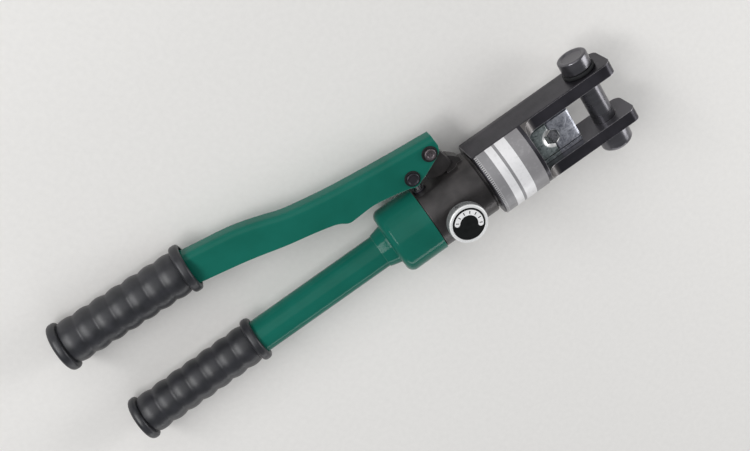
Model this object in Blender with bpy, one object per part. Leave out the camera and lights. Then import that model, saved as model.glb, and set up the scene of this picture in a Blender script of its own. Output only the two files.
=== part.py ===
"""Hand-pumped hydraulic crimping tool with a U-shaped head, a latch pin, a pair of hexagonal dies and two grips.

X runs along the tool towards the head, Y towards the pump lever and Z up through the release knob.
Lengths are in metres. Stations along X are counted from a datum beside the release knob's axis.
"""

import math

import bmesh
import bpy
from mathutils import Matrix, Vector

CLEAR = 0.0003  # gap between pieces that touch
ROUND = 28  # facets of a large turned piece
GRIP_ROUND = 18  # facets of a grip
SMALL_ROUND = 16  # facets of a bolt or a gland
TINY_ROUND = 10  # facets of a screw or a valve

# pump body
BODY_R = 0.0248
BODY_LEN = 0.0456
BODY_REAR_X = -0.0202
BODY_EDGE = 0.0008
NECK_R = 0.0222
NECK_LEN = 0.0016
NOSE_LEN = 0.0043
SPIGOT_LEN = 0.0158
NIPPLE_R = 0.0070
NIPPLE_LEN = 0.0090
PUMP_FLAT_Y = 0.0222
PUMP_FLAT_LEN = 0.0375
LUG_T = 0.0124
LUG_R = 0.0065
LUG_TOE_X = 0.0220
LUG_TOE_Y = 0.0273
LUG_KNEE_X = 0.0144
LUG_KNEE_Y = 0.0350

# yoke
YOKE_R = 0.0295
YOKE_FLAT_Y = 0.0255
YOKE_BASE_LEN = 0.0408
YOKE_WALL = 0.0080
YOKE_EDGE = 0.0012
CYLINDER_R = 0.0190
ARM_LEN = 0.0783
ARM_W = 0.0310
ARM_T = 0.0095
ARM_CORNER = 0.0065
RUNOUT_R = 0.0070

# latch pin and its keeper
PIN_R = 0.0085
PIN_FROM_END = 0.0196
PIN_HEAD_R = 0.0113
PIN_HEAD_LEN = 0.0102
PIN_HEAD_EDGE = 0.0014
PIN_RING_R = 0.0123
PIN_RING_T = 0.0028
PIN_TIP_EDGE = 0.0010
KEEPER_R = 0.0120
KEEPER_LEN = 0.0146
KEEPER_WALL = 0.0030
KEEPER_EDGE = 0.0030
KEEPER_LIP_R = 0.0102
KEEPER_LIP_LEN = 0.0030
DETENT_BALL_R = 0.0020
DETENT_PROUD = 0.00015
DETENT_SPRING_LEN = 0.0080

# ram and dies
PISTON_LEN = 0.0090
RAM_ROD_R = 0.0105
RAM_PROUD = 0.0009
RAM_STUD_R = 0.0040
RAM_STUD_LEN = 0.0045
RAM_TRAVEL_GAP = 0.0009
PISTON_SEAL_W = 0.0034
PISTON_SEAL_DEPTH = 0.0022
DIE_H = 0.0222
DIE_T = 0.0190
DIE_RAIL_T = 0.0176
LOWER_DIE_LEN = 0.0155
UPPER_DIE_LEN = 0.0187
DIE_EDGE = 0.0008
HEX_AF = 0.0104
DOWEL_R = 0.0014
DOWEL_Y = 0.0092
DOWEL_LEN = 0.0090
DIE_SCREW_R = 0.0018
SPRING_WIRE_R = 0.0006
SPRING_TURNS = 4.0

# rating plate
PLATE_LEN = 0.0368
PLATE_T = 0.0004
PLATE_FROM_REAR = 0.0010
PLATE_START_DEG = 32.0
PLATE_END_DEG = 148.0

# reservoir cup, handle tube, oil bladder
CUP_R = 0.0258
CUP_LEN = 0.0328
CUP_FILLET = 0.0060
CUP_BORE_R = 0.0217
CUP_BORE_LEN = 0.0215
CUP_LIP = 0.0040
CUP_NECK_LEN = 0.0087
CUP_NECK_R = 0.0155
CUP_NECK_END_R = 0.0142
TUBE_R = 0.0127
TUBE_WALL = 0.0015
TUBE_LEN = 0.2220
BLADDER_R = 0.0106
BLADDER_WALL = 0.0014
BLADDER_LEN = 0.1500
BLADDER_NECK_LEN = 0.0120
CLAMP_W = 0.0035
CLAMP_T = 0.0016
CLAMP_FROM_MOUTH = 0.0015
PLUG_LEN = 0.0100
PLUG_FLANGE = 0.0024

# handle grip
GRIP_CREST_R = 0.0151
GRIP_VALLEY_R = 0.0142
GRIP_BEAD_R = 0.0170
GRIP_LEN = 0.1051
GRIP_FRONT_BEAD = 0.0064
GRIP_END_BEAD = 0.0086
GRIP_END_WALL = 0.0023
GRIP_RIBS = 7

# pump lever
FULCRUM_X = 0.0050
FULCRUM_Y = 0.0444
LINK_X = -0.0195  # plunger pin, from the fulcrum
LINK_Y = -0.0080
LEVER_X = -0.0015  # datum of the lever's outline, from the fulcrum
LEVER_Y = 0.0008
LEVER_W = 0.0170
LEVER_SHEET = 0.0020
LEVER_BEND_R = 0.0032
LEVER_LOBE_R = 0.0072
LEVER_TANG_H = 0.0196
LEVER_TANG_LEN = 0.0900
TANG_START = 0.0042
# outline of the stamped lever from its datum, back edge and lower edge, from the nose to the grip
LEVER_BACK = (
    (0.0095, 0.0086), (-0.0187, 0.0104), (-0.0469, 0.0135), (-0.0751, 0.0179), (-0.1034, 0.0227),
    (-0.1175, 0.0268), (-0.1315, 0.0318), (-0.1455, 0.0364), (-0.1735, 0.0416), (-0.1815, 0.0431),
)
LEVER_EDGE = (
    (0.0097, 0.0033), (0.0094, -0.0006), (0.0059, -0.0055), (-0.0108, -0.0138),
)
LEVER_BELLY = (
    (-0.0331, -0.0118), (-0.0470, -0.0092), (-0.0540, -0.0087), (-0.0640, -0.0092), (-0.0715, -0.0092),
    (-0.0770, -0.0058), (-0.0819, -0.0036), (-0.0959, 0.0001), (-0.1165, 0.0047), (-0.1445, 0.0122),
    (-0.1815, 0.0199),
)

# lever grip, on an axis tilted from the tool's
LEVER_GRIP_X = -0.1785
LEVER_GRIP_Y = 0.0308
LEVER_GRIP_TILT = math.radians(2.7)
LEVER_GRIP_LEN = 0.1067
LEVER_GRIP_CREST_R = 0.0161
LEVER_GRIP_VALLEY_R = 0.0152
LEVER_GRIP_BEAD_R = 0.0182
LEVER_GRIP_FRONT_BEAD = 0.0068
LEVER_GRIP_END_BEAD = 0.0092
LEVER_GRIP_END_WALL = 0.0030
LEVER_GRIP_MOUTH_R = 0.0149
LEVER_GRIP_MOUTH_LEN = 0.0052

# fulcrum bolt and plunger pin
FULCRUM_R = 0.0042
BOLT_HEAD_R = 0.0050
BOLT_HEAD_T = 0.0030
FULCRUM_NUT_AF = 0.0110
FULCRUM_NUT_T = 0.0042
LINK_PIN_R = 0.0035
LINK_PIN_END = 0.0024
CLIP_R = 0.0058
CLIP_T = 0.0010
CLIP_GROOVE = 0.0008

# pump plunger and its gland
PLUNGER_R = 0.0035
PLUNGER_LEN = 0.0400
EYE_HALF_H = 0.0070
EYE_WALL = 0.0028
SLOT_HALF_X = 0.00175  # travel of the plunger pin along the slot
SLOT_HALF_Y = 0.00045
PLUNGER_BORE_DEPTH = 0.0400
PLUNGER_GLAND_T = 0.0018
PLUNGER_GLAND_R = 0.0051
PLUNGER_GLAND_LEN = 0.0078
SEAL_T = 0.0018

# release valve
STEM_R = 0.0030
STEM_LEN = 0.0350
STEM_TIP = 0.0030
VALVE_GLAND_AF = 0.0130
VALVE_GLAND_T = 0.0088
VALVE_GLAND_R = 0.0050
VALVE_GLAND_LEN = 0.0090
VALVE_SEAT_SUNK = 0.0012
KNOB_X = -0.0013
KNOB_R = 0.0144
KNOB_H = 0.0080
KNOB_STAND = 0.0192  # knob face above the body
KNOB_TEETH = 40
KNOB_TOOTH = 0.0004
KNOB_DISC_R = 0.0116
KNOB_DISC_T = 0.0012
KNOB_SCREW_R = 0.0015

# valves inside the pump body
CHECK_BALL_R = 0.0024
CHECK_BORE_R = 0.0031
INLET_Y = -0.0030
OUTLET_Y = -0.0090
CHECK_SPRING_LEN = 0.0070
CHECK_PLUG_LEN = 0.0040
RELIEF_X = 0.0110
RELIEF_DEPTH = 0.0165
RELIEF_PLUG_LEN = 0.0050
RELIEF_SUNK = 0.0008
INLET_DEPTH = 0.0152
OUTLET_FROM_PLUNGER = 0.0220
PORT_R = 0.0012
STRAINER_PROUD = 0.0020
RING_W = 0.0018
RING_DEPTH = 0.0018

# stations that follow from the sizes above
BODY_FRONT_X = BODY_REAR_X + BODY_LEN
NECK_X = BODY_FRONT_X + NECK_LEN
YOKE_X = NECK_X + CLEAR
BASE_FRONT_X = YOKE_X + YOKE_BASE_LEN
WALL_X = BASE_FRONT_X - YOKE_WALL
ARM_END_X = BASE_FRONT_X + ARM_LEN
ARM_INNER_Y = YOKE_FLAT_Y - ARM_T
PIN_X = ARM_END_X - PIN_FROM_END
NOSE_X = NECK_X + NOSE_LEN
PISTON_X = NOSE_X + CLEAR
RAM_SHOULDER_X = PISTON_X + PISTON_LEN
RAM_FACE_X = BASE_FRONT_X + RAM_PROUD
LOWER_DIE_X = RAM_FACE_X + CLEAR
PARTING_X = LOWER_DIE_X + LOWER_DIE_LEN
UPPER_DIE_X = PARTING_X + CLEAR
DIE_FRONT_X = UPPER_DIE_X + UPPER_DIE_LEN
RAM_TRAVEL = PIN_X - PIN_R - RAM_TRAVEL_GAP - DIE_FRONT_X
SPIGOT_X = BODY_REAR_X - SPIGOT_LEN
NIPPLE_X = SPIGOT_X - NIPPLE_LEN
CUP_FRONT_X = BODY_REAR_X - CLEAR
CUP_REAR_X = CUP_FRONT_X - CUP_LEN
CUP_END_X = CUP_REAR_X - CUP_NECK_LEN
CUP_SHOULDER_X = CUP_FRONT_X - CUP_BORE_LEN
TUBE_X = CUP_SHOULDER_X - CUP_LIP - CLEAR
TUBE_END_X = TUBE_X - TUBE_LEN
PLUG_END_X = TUBE_END_X - CLEAR - PLUG_FLANGE
GRIP_END_X = PLUG_END_X - CLEAR - GRIP_END_WALL
GRIP_X = GRIP_END_X + GRIP_LEN
LEVER = Vector((FULCRUM_X + LEVER_X, FULCRUM_Y + LEVER_Y))
LINK = Vector((FULCRUM_X + LINK_X, FULCRUM_Y + LINK_Y))
PLUNGER_X = LINK.x - (math.hypot(LINK_X, LINK_Y) + LINK_X) + SLOT_HALF_X
SLOT_X = SLOT_HALF_X + LINK_PIN_R + CLEAR
SLOT_Y = SLOT_HALF_Y + LINK_PIN_R
EYE_HALF_X = SLOT_X + EYE_WALL
PLUNGER_FOOT_Y = LINK.y - PLUNGER_LEN
CHEEK_Z = LEVER_W / 2
HEAD_Z = CHEEK_Z + CLEAR
VALVE_SEAT_Z = BODY_R - VALVE_SEAT_SUNK
KNOB_FACE_Z = BODY_R + KNOB_STAND
KNOB_Z = KNOB_FACE_Z - KNOB_H
DISC_Z = KNOB_FACE_Z - KNOB_DISC_T

# local z of a turned or extruded piece, laid along a world axis
LAY = {
    "X": Matrix(((0, 0, 1, 0), (1, 0, 0, 0), (0, 1, 0, 0), (0, 0, 0, 1))),
    "Y": Matrix(((0, 1, 0, 0), (0, 0, 1, 0), (1, 0, 0, 0), (0, 0, 0, 1))),
    "Z": Matrix.Identity(4),
}

for old in list(bpy.data.objects):
    bpy.data.objects.remove(old, do_unlink=True)


def srgb(value):
    """Linear channels of a hex colour."""
    channels = [int(value[i:i + 2], 16) / 255 for i in (1, 3, 5)]
    return [c / 12.92 if c <= 0.04045 else ((c + 0.055) / 1.055) ** 2.4 for c in channels] + [1.0]


def material(name, colour, roughness, metallic=0.0):
    look = bpy.data.materials.new(name)
    look.use_nodes = True
    shader = look.node_tree.nodes["Principled BSDF"]
    shader.inputs["Base Color"].default_value = srgb(colour)
    shader.inputs["Roughness"].default_value = roughness
    shader.inputs["Metallic"].default_value = metallic
    look.diffuse_color = srgb(colour)
    return look


def empty(name, at, parent=None):
    marker = bpy.data.objects.new(name, None)
    marker.empty_display_size = 0.01
    marker.location = at
    bpy.context.collection.objects.link(marker)
    marker.parent = parent
    return marker


def solid(name, bm):
    """Closes a bmesh into an object whose faces point out."""
    bmesh.ops.recalc_face_normals(bm, faces=bm.faces)
    mesh = bpy.data.meshes.new(name)
    bm.to_mesh(mesh)
    bm.free()
    obj = bpy.data.objects.new(name, mesh)
    bpy.context.collection.objects.link(obj)
    return obj


def turned(name, outline, axis="X", at=(0, 0, 0), facets=ROUND, turn=0.0):
    """Turns a closed outline of (station, radius) about an axis through at."""
    bm = bmesh.new()
    lay = Matrix.Translation(at) @ LAY[axis]
    angles = [turn + math.tau * i / facets for i in range(facets)]
    rings = []
    for h, r in outline:
        if r < 1e-7:
            rings.append([bm.verts.new(lay @ Vector((0, 0, h)))] * facets)
        else:
            rings.append([bm.verts.new(lay @ Vector((r * math.cos(a), r * math.sin(a), h))) for a in angles])
    for k, ring in enumerate(rings):
        after = rings[(k + 1) % len(rings)]
        for i in range(facets):
            j = (i + 1) % facets
            corners = list(dict.fromkeys((ring[i], ring[j], after[j], after[i])))
            if len(corners) > 2:
                bm.faces.new(corners)
    return solid(name, bm)


def extruded(name, outline, axis, low, high, at=(0, 0, 0)):
    """Extrudes a closed outline along an axis: XY outlines along Z, ZX along Y and YZ along X."""
    bm = bmesh.new()
    lay = Matrix.Translation(at) @ LAY[axis]
    ends = [[bm.verts.new(lay @ Vector((u, v, h))) for u, v in outline] for h in (low, high)]
    count = len(outline)
    bm.faces.new(ends[0][::-1])
    bm.faces.new(ends[1])
    for i in range(count):
        j = (i + 1) % count
        bm.faces.new((ends[0][i], ends[0][j], ends[1][j], ends[1][i]))
    return solid(name, bm)


def block(name, low, high):
    outline = [(low[0], low[1]), (high[0], low[1]), (high[0], high[1]), (low[0], high[1])]
    return extruded(name, outline, "Z", low[2], high[2])


def ball(name, radius, at):
    bm = bmesh.new()
    bmesh.ops.create_icosphere(bm, subdivisions=2, radius=radius, matrix=Matrix.Translation(at))
    return solid(name, bm)


def coil(name, axis, low, high, radius, wire, turns, at=(0, 0, 0), steps=14, sides=6):
    """A spring wire wound between two stations of an axis, its ends closed."""
    bm = bmesh.new()
    lay = Matrix.Translation(at) @ LAY[axis]
    low, high = low + wire, high - wire
    count = round(turns * steps)
    rise = (high - low) / (math.tau * turns)
    rings = []
    for i in range(count + 1):
        a = math.tau * turns * i / count
        out = Vector((math.cos(a), math.sin(a), 0))
        along = Vector((-radius * math.sin(a), radius * math.cos(a), rise)).normalized()
        up = along.cross(out)
        centre = out * radius + Vector((0, 0, low + (high - low) * i / count))
        spokes = [math.tau * k / sides for k in range(sides)]
        rings.append(
            [bm.verts.new(lay @ (centre + wire * (out * math.cos(s) + up * math.sin(s)))) for s in spokes]
        )
    bm.faces.new(rings[0])
    bm.faces.new(rings[-1])
    for ring, after in zip(rings, rings[1:]):
        for k in range(sides):
            j = (k + 1) % sides
            bm.faces.new((ring[k], ring[j], after[j], after[k]))
    return solid(name, bm)


def combine(target, tools, operation):
    """Applies one exact Boolean after another and removes the tools."""
    for tool in tools:
        step = target.modifiers.new(operation, "BOOLEAN")
        step.operation = operation
        step.solver = "EXACT"
        step.object = tool
        tool.hide_render = True
        tool.display_type = "WIRE"
        shape = target.evaluated_get(bpy.context.evaluated_depsgraph_get())
        mesh = bpy.data.meshes.new_from_object(shape)
        target.modifiers.remove(step)
        target.data = mesh
        bpy.data.objects.remove(tool, do_unlink=True)
    return target


def cut(target, *tools):
    return combine(target, tools, "DIFFERENCE")


def fuse(target, *tools):
    return combine(target, tools, "UNION")


def keep(target, *tools):
    return combine(target, tools, "INTERSECT")


def arc(centre, radius, start, end, count):
    """Points on a circle from one angle to another, in degrees."""
    angles = [math.radians(start + (end - start) * i / count) for i in range(count + 1)]
    return [(centre[0] + radius * math.cos(a), centre[1] + radius * math.sin(a)) for a in angles]


def hexagon(across_flats, centre=(0, 0), turn=0.0):
    radius = across_flats / math.sqrt(3)
    return arc(centre, radius, turn, turn + 300, 5)


def smooth(points, steps):
    """A Catmull-Rom curve through points."""
    curve = []
    last = len(points) - 1
    for i in range(last):
        p = [Vector(points[min(max(i + k, 0), last)]) for k in (-1, 0, 1, 2)]
        for s in range(steps):
            t = s / steps
            curve.append(tuple(0.5 * (
                2 * p[1] + (p[2] - p[0]) * t + (2 * p[0] - 5 * p[1] + 4 * p[2] - p[3]) * t * t
                + (3 * p[1] - p[0] - 3 * p[2] + p[3]) * t ** 3
            )))
    curve.append(tuple(points[last]))
    return curve


def finish(group, look, *pieces):
    """Gives pieces their material, smooth shading and parent."""
    for piece in pieces:
        piece.data.materials.clear()
        piece.data.materials.append(look)
        piece.data.shade_smooth()
        piece.data.set_sharp_from_angle(angle=math.radians(35))
        piece.parent = group
        piece.matrix_parent_inverse = group.matrix_world.inverted()


def grip_outline(length, crest, valley, bead, front_bead, end_bead, bore, end_wall, mouth=()):
    """Half section of a ribbed grip: mouth at station 0, closed end at -length."""
    pitch = (length - front_bead - end_bead) / GRIP_RIBS
    outer = [(0, bead - 0.0012), (-0.0012, bead), (-front_bead + 0.0014, bead), (-front_bead, valley)]
    for rib in range(GRIP_RIBS):
        for u in (0.22, 0.78):
            outer.append((-front_bead - (rib + u) * pitch, crest))
        outer.append((-front_bead - (rib + 1) * pitch, valley))
    outer += [(end_bead - length - 0.0014, bead), (0.0040 - length, bead), (0.0014 - length, bead - 0.0022)]
    outer += [(-length, bead - 0.0062), (-length, 0)]
    inner = [(-mouth[0], bore), (-mouth[0], mouth[1]), (0, mouth[1])] if mouth else [(0, bore)]
    return [(end_wall - length, 0), (end_wall - length, bore)] + inner + outer


steel_black = material("black_oxide_steel", "#46444a", 0.42, 0.75)
cast_black = material("black_cast_steel", "#3a3838", 0.55, 0.5)
zinc = material("zinc_plated_steel", "#b4b8bd", 0.38, 0.95)
bright = material("ground_steel", "#c6c8ca", 0.22, 1.0)
green = material("green_paint", "#1c6a57", 0.35)
rubber = material("black_rubber", "#36373b", 0.7)
seal_rubber = material("seal_rubber", "#1d1d1f", 0.6)
aluminium = material("knurled_aluminium", "#d9dadb", 0.3, 1.0)
black_plastic = material("black_plastic", "#202222", 0.4)
foil = material("label_foil", "#dcdcdd", 0.4, 0.2)
spring_steel = material("spring_steel", "#8e9196", 0.35, 1.0)
bladder_rubber = material("bladder_rubber", "#4a3a2e", 0.65)
strainer_brass = material("sintered_bronze", "#a57f4a", 0.6, 0.8)

tool = empty("crimping_tool", (0, 0, 0))
ram_axis = empty("ram_axis", (RAM_FACE_X, 0, 0), tool)
pin_axis = empty("pin_axis", (PIN_X, YOKE_FLAT_Y, 0), tool)
lever_axis = empty("lever_axis", (FULCRUM_X, FULCRUM_Y, 0), tool)
plunger_axis = empty("plunger_axis", (PLUNGER_X, LINK.y, 0), tool)
knob_axis = empty("knob_axis", (KNOB_X, 0, KNOB_Z), tool)
bpy.context.view_layer.update()

# yoke: a round bar with two flats, slotted, its arms milled to width with a rounded run-out
yoke = turned("yoke", [
    (YOKE_X, 0), (YOKE_X, YOKE_R - YOKE_EDGE), (YOKE_X + YOKE_EDGE, YOKE_R),
    (ARM_END_X - YOKE_EDGE, YOKE_R), (ARM_END_X, YOKE_R - YOKE_EDGE), (ARM_END_X, 0),
], turn=math.pi / ROUND)
keep(yoke, block("yoke_flats", (YOKE_X - 0.01, -YOKE_FLAT_Y, -2 * YOKE_R), (ARM_END_X + 0.01, YOKE_FLAT_Y, 2 * YOKE_R)))
cut(yoke, block("yoke_slot", (BASE_FRONT_X, -ARM_INNER_Y, -2 * YOKE_R), (ARM_END_X + 0.01, ARM_INNER_Y, 2 * YOKE_R)))
for side in (1, -1):
    half = ARM_W / 2
    run = arc((half + RUNOUT_R, BASE_FRONT_X + RUNOUT_R), RUNOUT_R, 270, 180, 6)
    nose = arc((half - ARM_CORNER, ARM_END_X - ARM_CORNER), ARM_CORNER, 0, 90, 5)
    milled = [(2 * YOKE_R, BASE_FRONT_X)] + run + nose
    milled += [(half - ARM_CORNER, ARM_END_X + 0.01), (2 * YOKE_R, ARM_END_X + 0.01)]
    milled = [(side * z, x) for z, x in milled]
    cut(yoke, extruded("arm_side", milled, "Y", -2 * YOKE_R, 2 * YOKE_R))
cut(
    yoke,
    turned("cylinder_bore", [
        (YOKE_X - 0.01, 0), (YOKE_X - 0.01, CYLINDER_R), (WALL_X, CYLINDER_R), (WALL_X, RAM_ROD_R + CLEAR),
        (BASE_FRONT_X + 0.01, RAM_ROD_R + CLEAR), (BASE_FRONT_X + 0.01, 0),
    ]),
    turned("pin_hole", [
        (-2 * YOKE_FLAT_Y, 0), (-2 * YOKE_FLAT_Y, KEEPER_LIP_R + CLEAR),
        (KEEPER_LIP_LEN + CLEAR - YOKE_FLAT_Y, KEEPER_LIP_R + CLEAR),
        (KEEPER_LIP_LEN + CLEAR - YOKE_FLAT_Y, PIN_R + CLEAR), (2 * YOKE_FLAT_Y, PIN_R + CLEAR), (2 * YOKE_FLAT_Y, 0),
    ], "Y", (PIN_X, 0, 0), ROUND),
)

# rating plate: a foil wrapped round the front of the base, between the flats
plate_low, plate_high = YOKE_R + CLEAR, YOKE_R + CLEAR + PLATE_T
plate_faces = 16
rating_plate = extruded("rating_plate", (
    arc((0, 0), plate_high, PLATE_START_DEG, PLATE_END_DEG, plate_faces)
    + arc((0, 0), plate_low, PLATE_END_DEG, PLATE_START_DEG, plate_faces)
), "X", YOKE_X + PLATE_FROM_REAR, YOKE_X + PLATE_FROM_REAR + PLATE_LEN)

# keeper: a cup seated in the lower arm that takes the pin's tip
keeper_y = -YOKE_FLAT_Y - CLEAR
keeper_end = keeper_y - KEEPER_LEN
tip_y = keeper_end + KEEPER_WALL + CLEAR
pin_keeper = turned("pin_keeper", [
    (keeper_end, 0), (keeper_end, KEEPER_R - KEEPER_EDGE), (keeper_end + 0.3 * KEEPER_EDGE, KEEPER_R - 0.3 * KEEPER_EDGE),
    (keeper_end + KEEPER_EDGE, KEEPER_R), (keeper_y, KEEPER_R), (keeper_y, KEEPER_LIP_R),
    (keeper_y + KEEPER_LIP_LEN, KEEPER_LIP_R), (keeper_y + KEEPER_LIP_LEN, PIN_R + CLEAR),
    (keeper_end + KEEPER_WALL, PIN_R + CLEAR), (keeper_end + KEEPER_WALL, 0),
], "Y", (PIN_X, 0, 0), ROUND)

# latch pin with a chamfered head, a dark ring under it, and a ball detent near its tip
ring_y = YOKE_FLAT_Y + CLEAR
head_y = ring_y + PIN_RING_T + CLEAR
head_end = head_y + PIN_HEAD_LEN
ball_y = tip_y + KEEPER_WALL + DETENT_BALL_R
latch_pin = turned("latch_pin", [
    (tip_y, 0), (tip_y, PIN_R - PIN_TIP_EDGE), (tip_y + PIN_TIP_EDGE, PIN_R), (head_y, PIN_R), (head_y, PIN_HEAD_R),
    (head_end - PIN_HEAD_EDGE, PIN_HEAD_R), (head_end, PIN_HEAD_R - PIN_HEAD_EDGE), (head_end, 0),
], "Y", (PIN_X, 0, 0), ROUND)
detent_floor = PIN_R + DETENT_PROUD - 2 * DETENT_BALL_R - CLEAR - DETENT_SPRING_LEN
cut(latch_pin, turned("detent_bore", [
    (detent_floor - CLEAR, 0), (detent_floor - CLEAR, DETENT_BALL_R + CLEAR),
    (2 * PIN_R, DETENT_BALL_R + CLEAR), (2 * PIN_R, 0),
], "X", (PIN_X, ball_y, 0), TINY_ROUND))
pin_detent_ball = ball("pin_detent_ball", DETENT_BALL_R, (PIN_X + PIN_R + DETENT_PROUD - DETENT_BALL_R, ball_y, 0))
pin_detent_spring = coil(
    "pin_detent_spring", "X", detent_floor, detent_floor + DETENT_SPRING_LEN,
    DETENT_BALL_R - 0.0006, 0.0004, 4, (PIN_X, ball_y, 0), 8, 4,
)
pin_ring = turned("pin_ring", [
    (ring_y, PIN_R + CLEAR), (ring_y, PIN_RING_R - 0.0006), (ring_y + 0.0006, PIN_RING_R),
    (ring_y + PIN_RING_T - 0.0006, PIN_RING_R), (ring_y + PIN_RING_T, PIN_RING_R - 0.0006),
    (ring_y + PIN_RING_T, PIN_R + CLEAR),
], "Y", (PIN_X, 0, 0), ROUND)

# pump body: turned bar with a nose in the yoke, a spigot in the cup and a lug for the lever
nose_r, spigot_r = CYLINDER_R - CLEAR, CUP_BORE_R - CLEAR
groove_x = NECK_X + (NOSE_LEN - RING_W) / 2
spigot_groove_x = BODY_REAR_X - 0.3 * SPIGOT_LEN
pump_body = turned("pump_body", [
    (NIPPLE_X, 0), (NIPPLE_X, NIPPLE_R), (SPIGOT_X, NIPPLE_R), (SPIGOT_X, spigot_r),
    (spigot_groove_x - RING_W - 2 * CLEAR, spigot_r), (spigot_groove_x - RING_W - 2 * CLEAR, spigot_r - RING_DEPTH),
    (spigot_groove_x, spigot_r - RING_DEPTH), (spigot_groove_x, spigot_r),
    (BODY_REAR_X, spigot_r), (BODY_REAR_X, BODY_R - BODY_EDGE / 2), (BODY_REAR_X + BODY_EDGE / 2, BODY_R),
    (BODY_FRONT_X - BODY_EDGE, BODY_R), (BODY_FRONT_X, BODY_R - BODY_EDGE), (BODY_FRONT_X, NECK_R), (NECK_X, NECK_R),
    (NECK_X, nose_r), (groove_x - CLEAR, nose_r), (groove_x - CLEAR, nose_r - RING_DEPTH),
    (groove_x + RING_W + CLEAR, nose_r - RING_DEPTH), (groove_x + RING_W + CLEAR, nose_r), (NOSE_X, nose_r), (NOSE_X, 0),
])
cut(pump_body, block(
    "pump_flat", (BODY_REAR_X - 2 * CLEAR, PUMP_FLAT_Y, -2 * BODY_R), (BODY_REAR_X + PUMP_FLAT_LEN, 2 * BODY_R, 2 * BODY_R)
))
lug_rear = FULCRUM_X - LUG_R
lug = [(lug_rear, PUMP_FLAT_Y - 0.004)] + [(LUG_TOE_X, PUMP_FLAT_Y - 0.004), (LUG_TOE_X, LUG_TOE_Y)]
lug += [(LUG_KNEE_X, LUG_KNEE_Y)] + arc((FULCRUM_X, FULCRUM_Y), LUG_R, 10, 180, 12)
fuse(pump_body, extruded("lug", lug, "Z", -LUG_T / 2, LUG_T / 2))
gland_floor = PUMP_FLAT_Y - PLUNGER_GLAND_LEN - SEAL_T - 2 * CLEAR
cut(
    pump_body,
    turned("fulcrum_hole", [
        (-LUG_T, 0), (-LUG_T, FULCRUM_R + CLEAR), (LUG_T, FULCRUM_R + CLEAR), (LUG_T, 0),
    ], "Z", (FULCRUM_X, FULCRUM_Y, 0), SMALL_ROUND),
    turned("plunger_bore", [
        (PUMP_FLAT_Y - PLUNGER_BORE_DEPTH, 0), (PUMP_FLAT_Y - PLUNGER_BORE_DEPTH, PLUNGER_R + CLEAR),
        (gland_floor, PLUNGER_R + CLEAR), (gland_floor, PLUNGER_GLAND_R + CLEAR),
        (2 * BODY_R, PLUNGER_GLAND_R + CLEAR), (2 * BODY_R, 0),
    ], "Y", (PLUNGER_X, 0, 0), SMALL_ROUND),
    turned("valve_bore", [
        (KNOB_FACE_Z - KNOB_DISC_T - STEM_LEN - STEM_TIP - 2 * CLEAR, 0),
        (KNOB_FACE_Z - KNOB_DISC_T - STEM_LEN - STEM_TIP - 2 * CLEAR, STEM_R + CLEAR),
        (VALVE_SEAT_Z - VALVE_GLAND_LEN - CLEAR, STEM_R + CLEAR),
        (VALVE_SEAT_Z - VALVE_GLAND_LEN - CLEAR, VALVE_GLAND_R + CLEAR),
        (VALVE_SEAT_Z, VALVE_GLAND_R + CLEAR), (VALVE_SEAT_Z, 0.62 * VALVE_GLAND_AF), (2 * BODY_R, 0.62 * VALVE_GLAND_AF),
        (2 * BODY_R, 0),
    ], "Z", (KNOB_X, 0, 0), SMALL_ROUND),
    turned("relief_bore", [
        (-2 * BODY_R, 0), (-2 * BODY_R, CHECK_BORE_R), (RELIEF_DEPTH - BODY_R, CHECK_BORE_R), (RELIEF_DEPTH - BODY_R, 0),
    ], "Z", (RELIEF_X, 0, 0), TINY_ROUND),
    turned("outlet_bore", [
        (PLUNGER_X, 0), (PLUNGER_X, PORT_R), (PLUNGER_X + OUTLET_FROM_PLUNGER, PORT_R),
        (PLUNGER_X + OUTLET_FROM_PLUNGER, CHECK_BORE_R), (NOSE_X + 0.01, CHECK_BORE_R), (NOSE_X + 0.01, 0),
    ], "X", (0, OUTLET_Y, 0), TINY_ROUND),
    turned("inlet_bore", [
        (NIPPLE_X - 0.01, 0), (NIPPLE_X - 0.01, CHECK_BORE_R), (SPIGOT_X + INLET_DEPTH, CHECK_BORE_R),
        (SPIGOT_X + INLET_DEPTH, PORT_R), (PLUNGER_X, PORT_R), (PLUNGER_X, 0),
    ], "X", (0, INLET_Y, 0), TINY_ROUND),
)


def ring_section(low, high, inner, outer, edge=0.0004):
    """Section of a seal ring with its outer side eased."""
    return [(low, inner), (low, outer - edge), ((low + high) / 2, outer), (high, outer - edge), (high, inner)]


cylinder_o_ring = turned(
    "cylinder_o_ring", ring_section(groove_x, groove_x + RING_W, nose_r - RING_DEPTH + CLEAR, nose_r + CLEAR / 2)
)
reservoir_o_ring = turned("reservoir_o_ring", ring_section(
    spigot_groove_x - RING_W - CLEAR, spigot_groove_x - CLEAR, spigot_r - RING_DEPTH + CLEAR, spigot_r + CLEAR / 2
))

# valves: each ball sits on its seat under a spring that a plug holds
valve_r = CHECK_BORE_R - CLEAR
coil_r, coil_wire = CHECK_BORE_R - 0.0011, 0.0005
inlet_seat = SPIGOT_X + INLET_DEPTH
inlet_ball = ball("inlet_ball", CHECK_BALL_R, (inlet_seat - CHECK_BALL_R - CLEAR, INLET_Y, 0))
inlet_low = inlet_seat - 2 * CHECK_BALL_R - 2 * CLEAR - CHECK_SPRING_LEN
inlet_spring = coil(
    "inlet_spring", "X", inlet_low, inlet_low + CHECK_SPRING_LEN, coil_r, coil_wire, 4, (0, INLET_Y, 0), 8, 4
)
suction_strainer = turned("suction_strainer", [
    (NIPPLE_X - STRAINER_PROUD, 0), (NIPPLE_X - STRAINER_PROUD, valve_r - 0.0005), (NIPPLE_X, valve_r),
    (inlet_low - CLEAR, valve_r), (inlet_low - CLEAR, 0),
], "X", (0, INLET_Y, 0), TINY_ROUND)
outlet_seat = PLUNGER_X + OUTLET_FROM_PLUNGER
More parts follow.
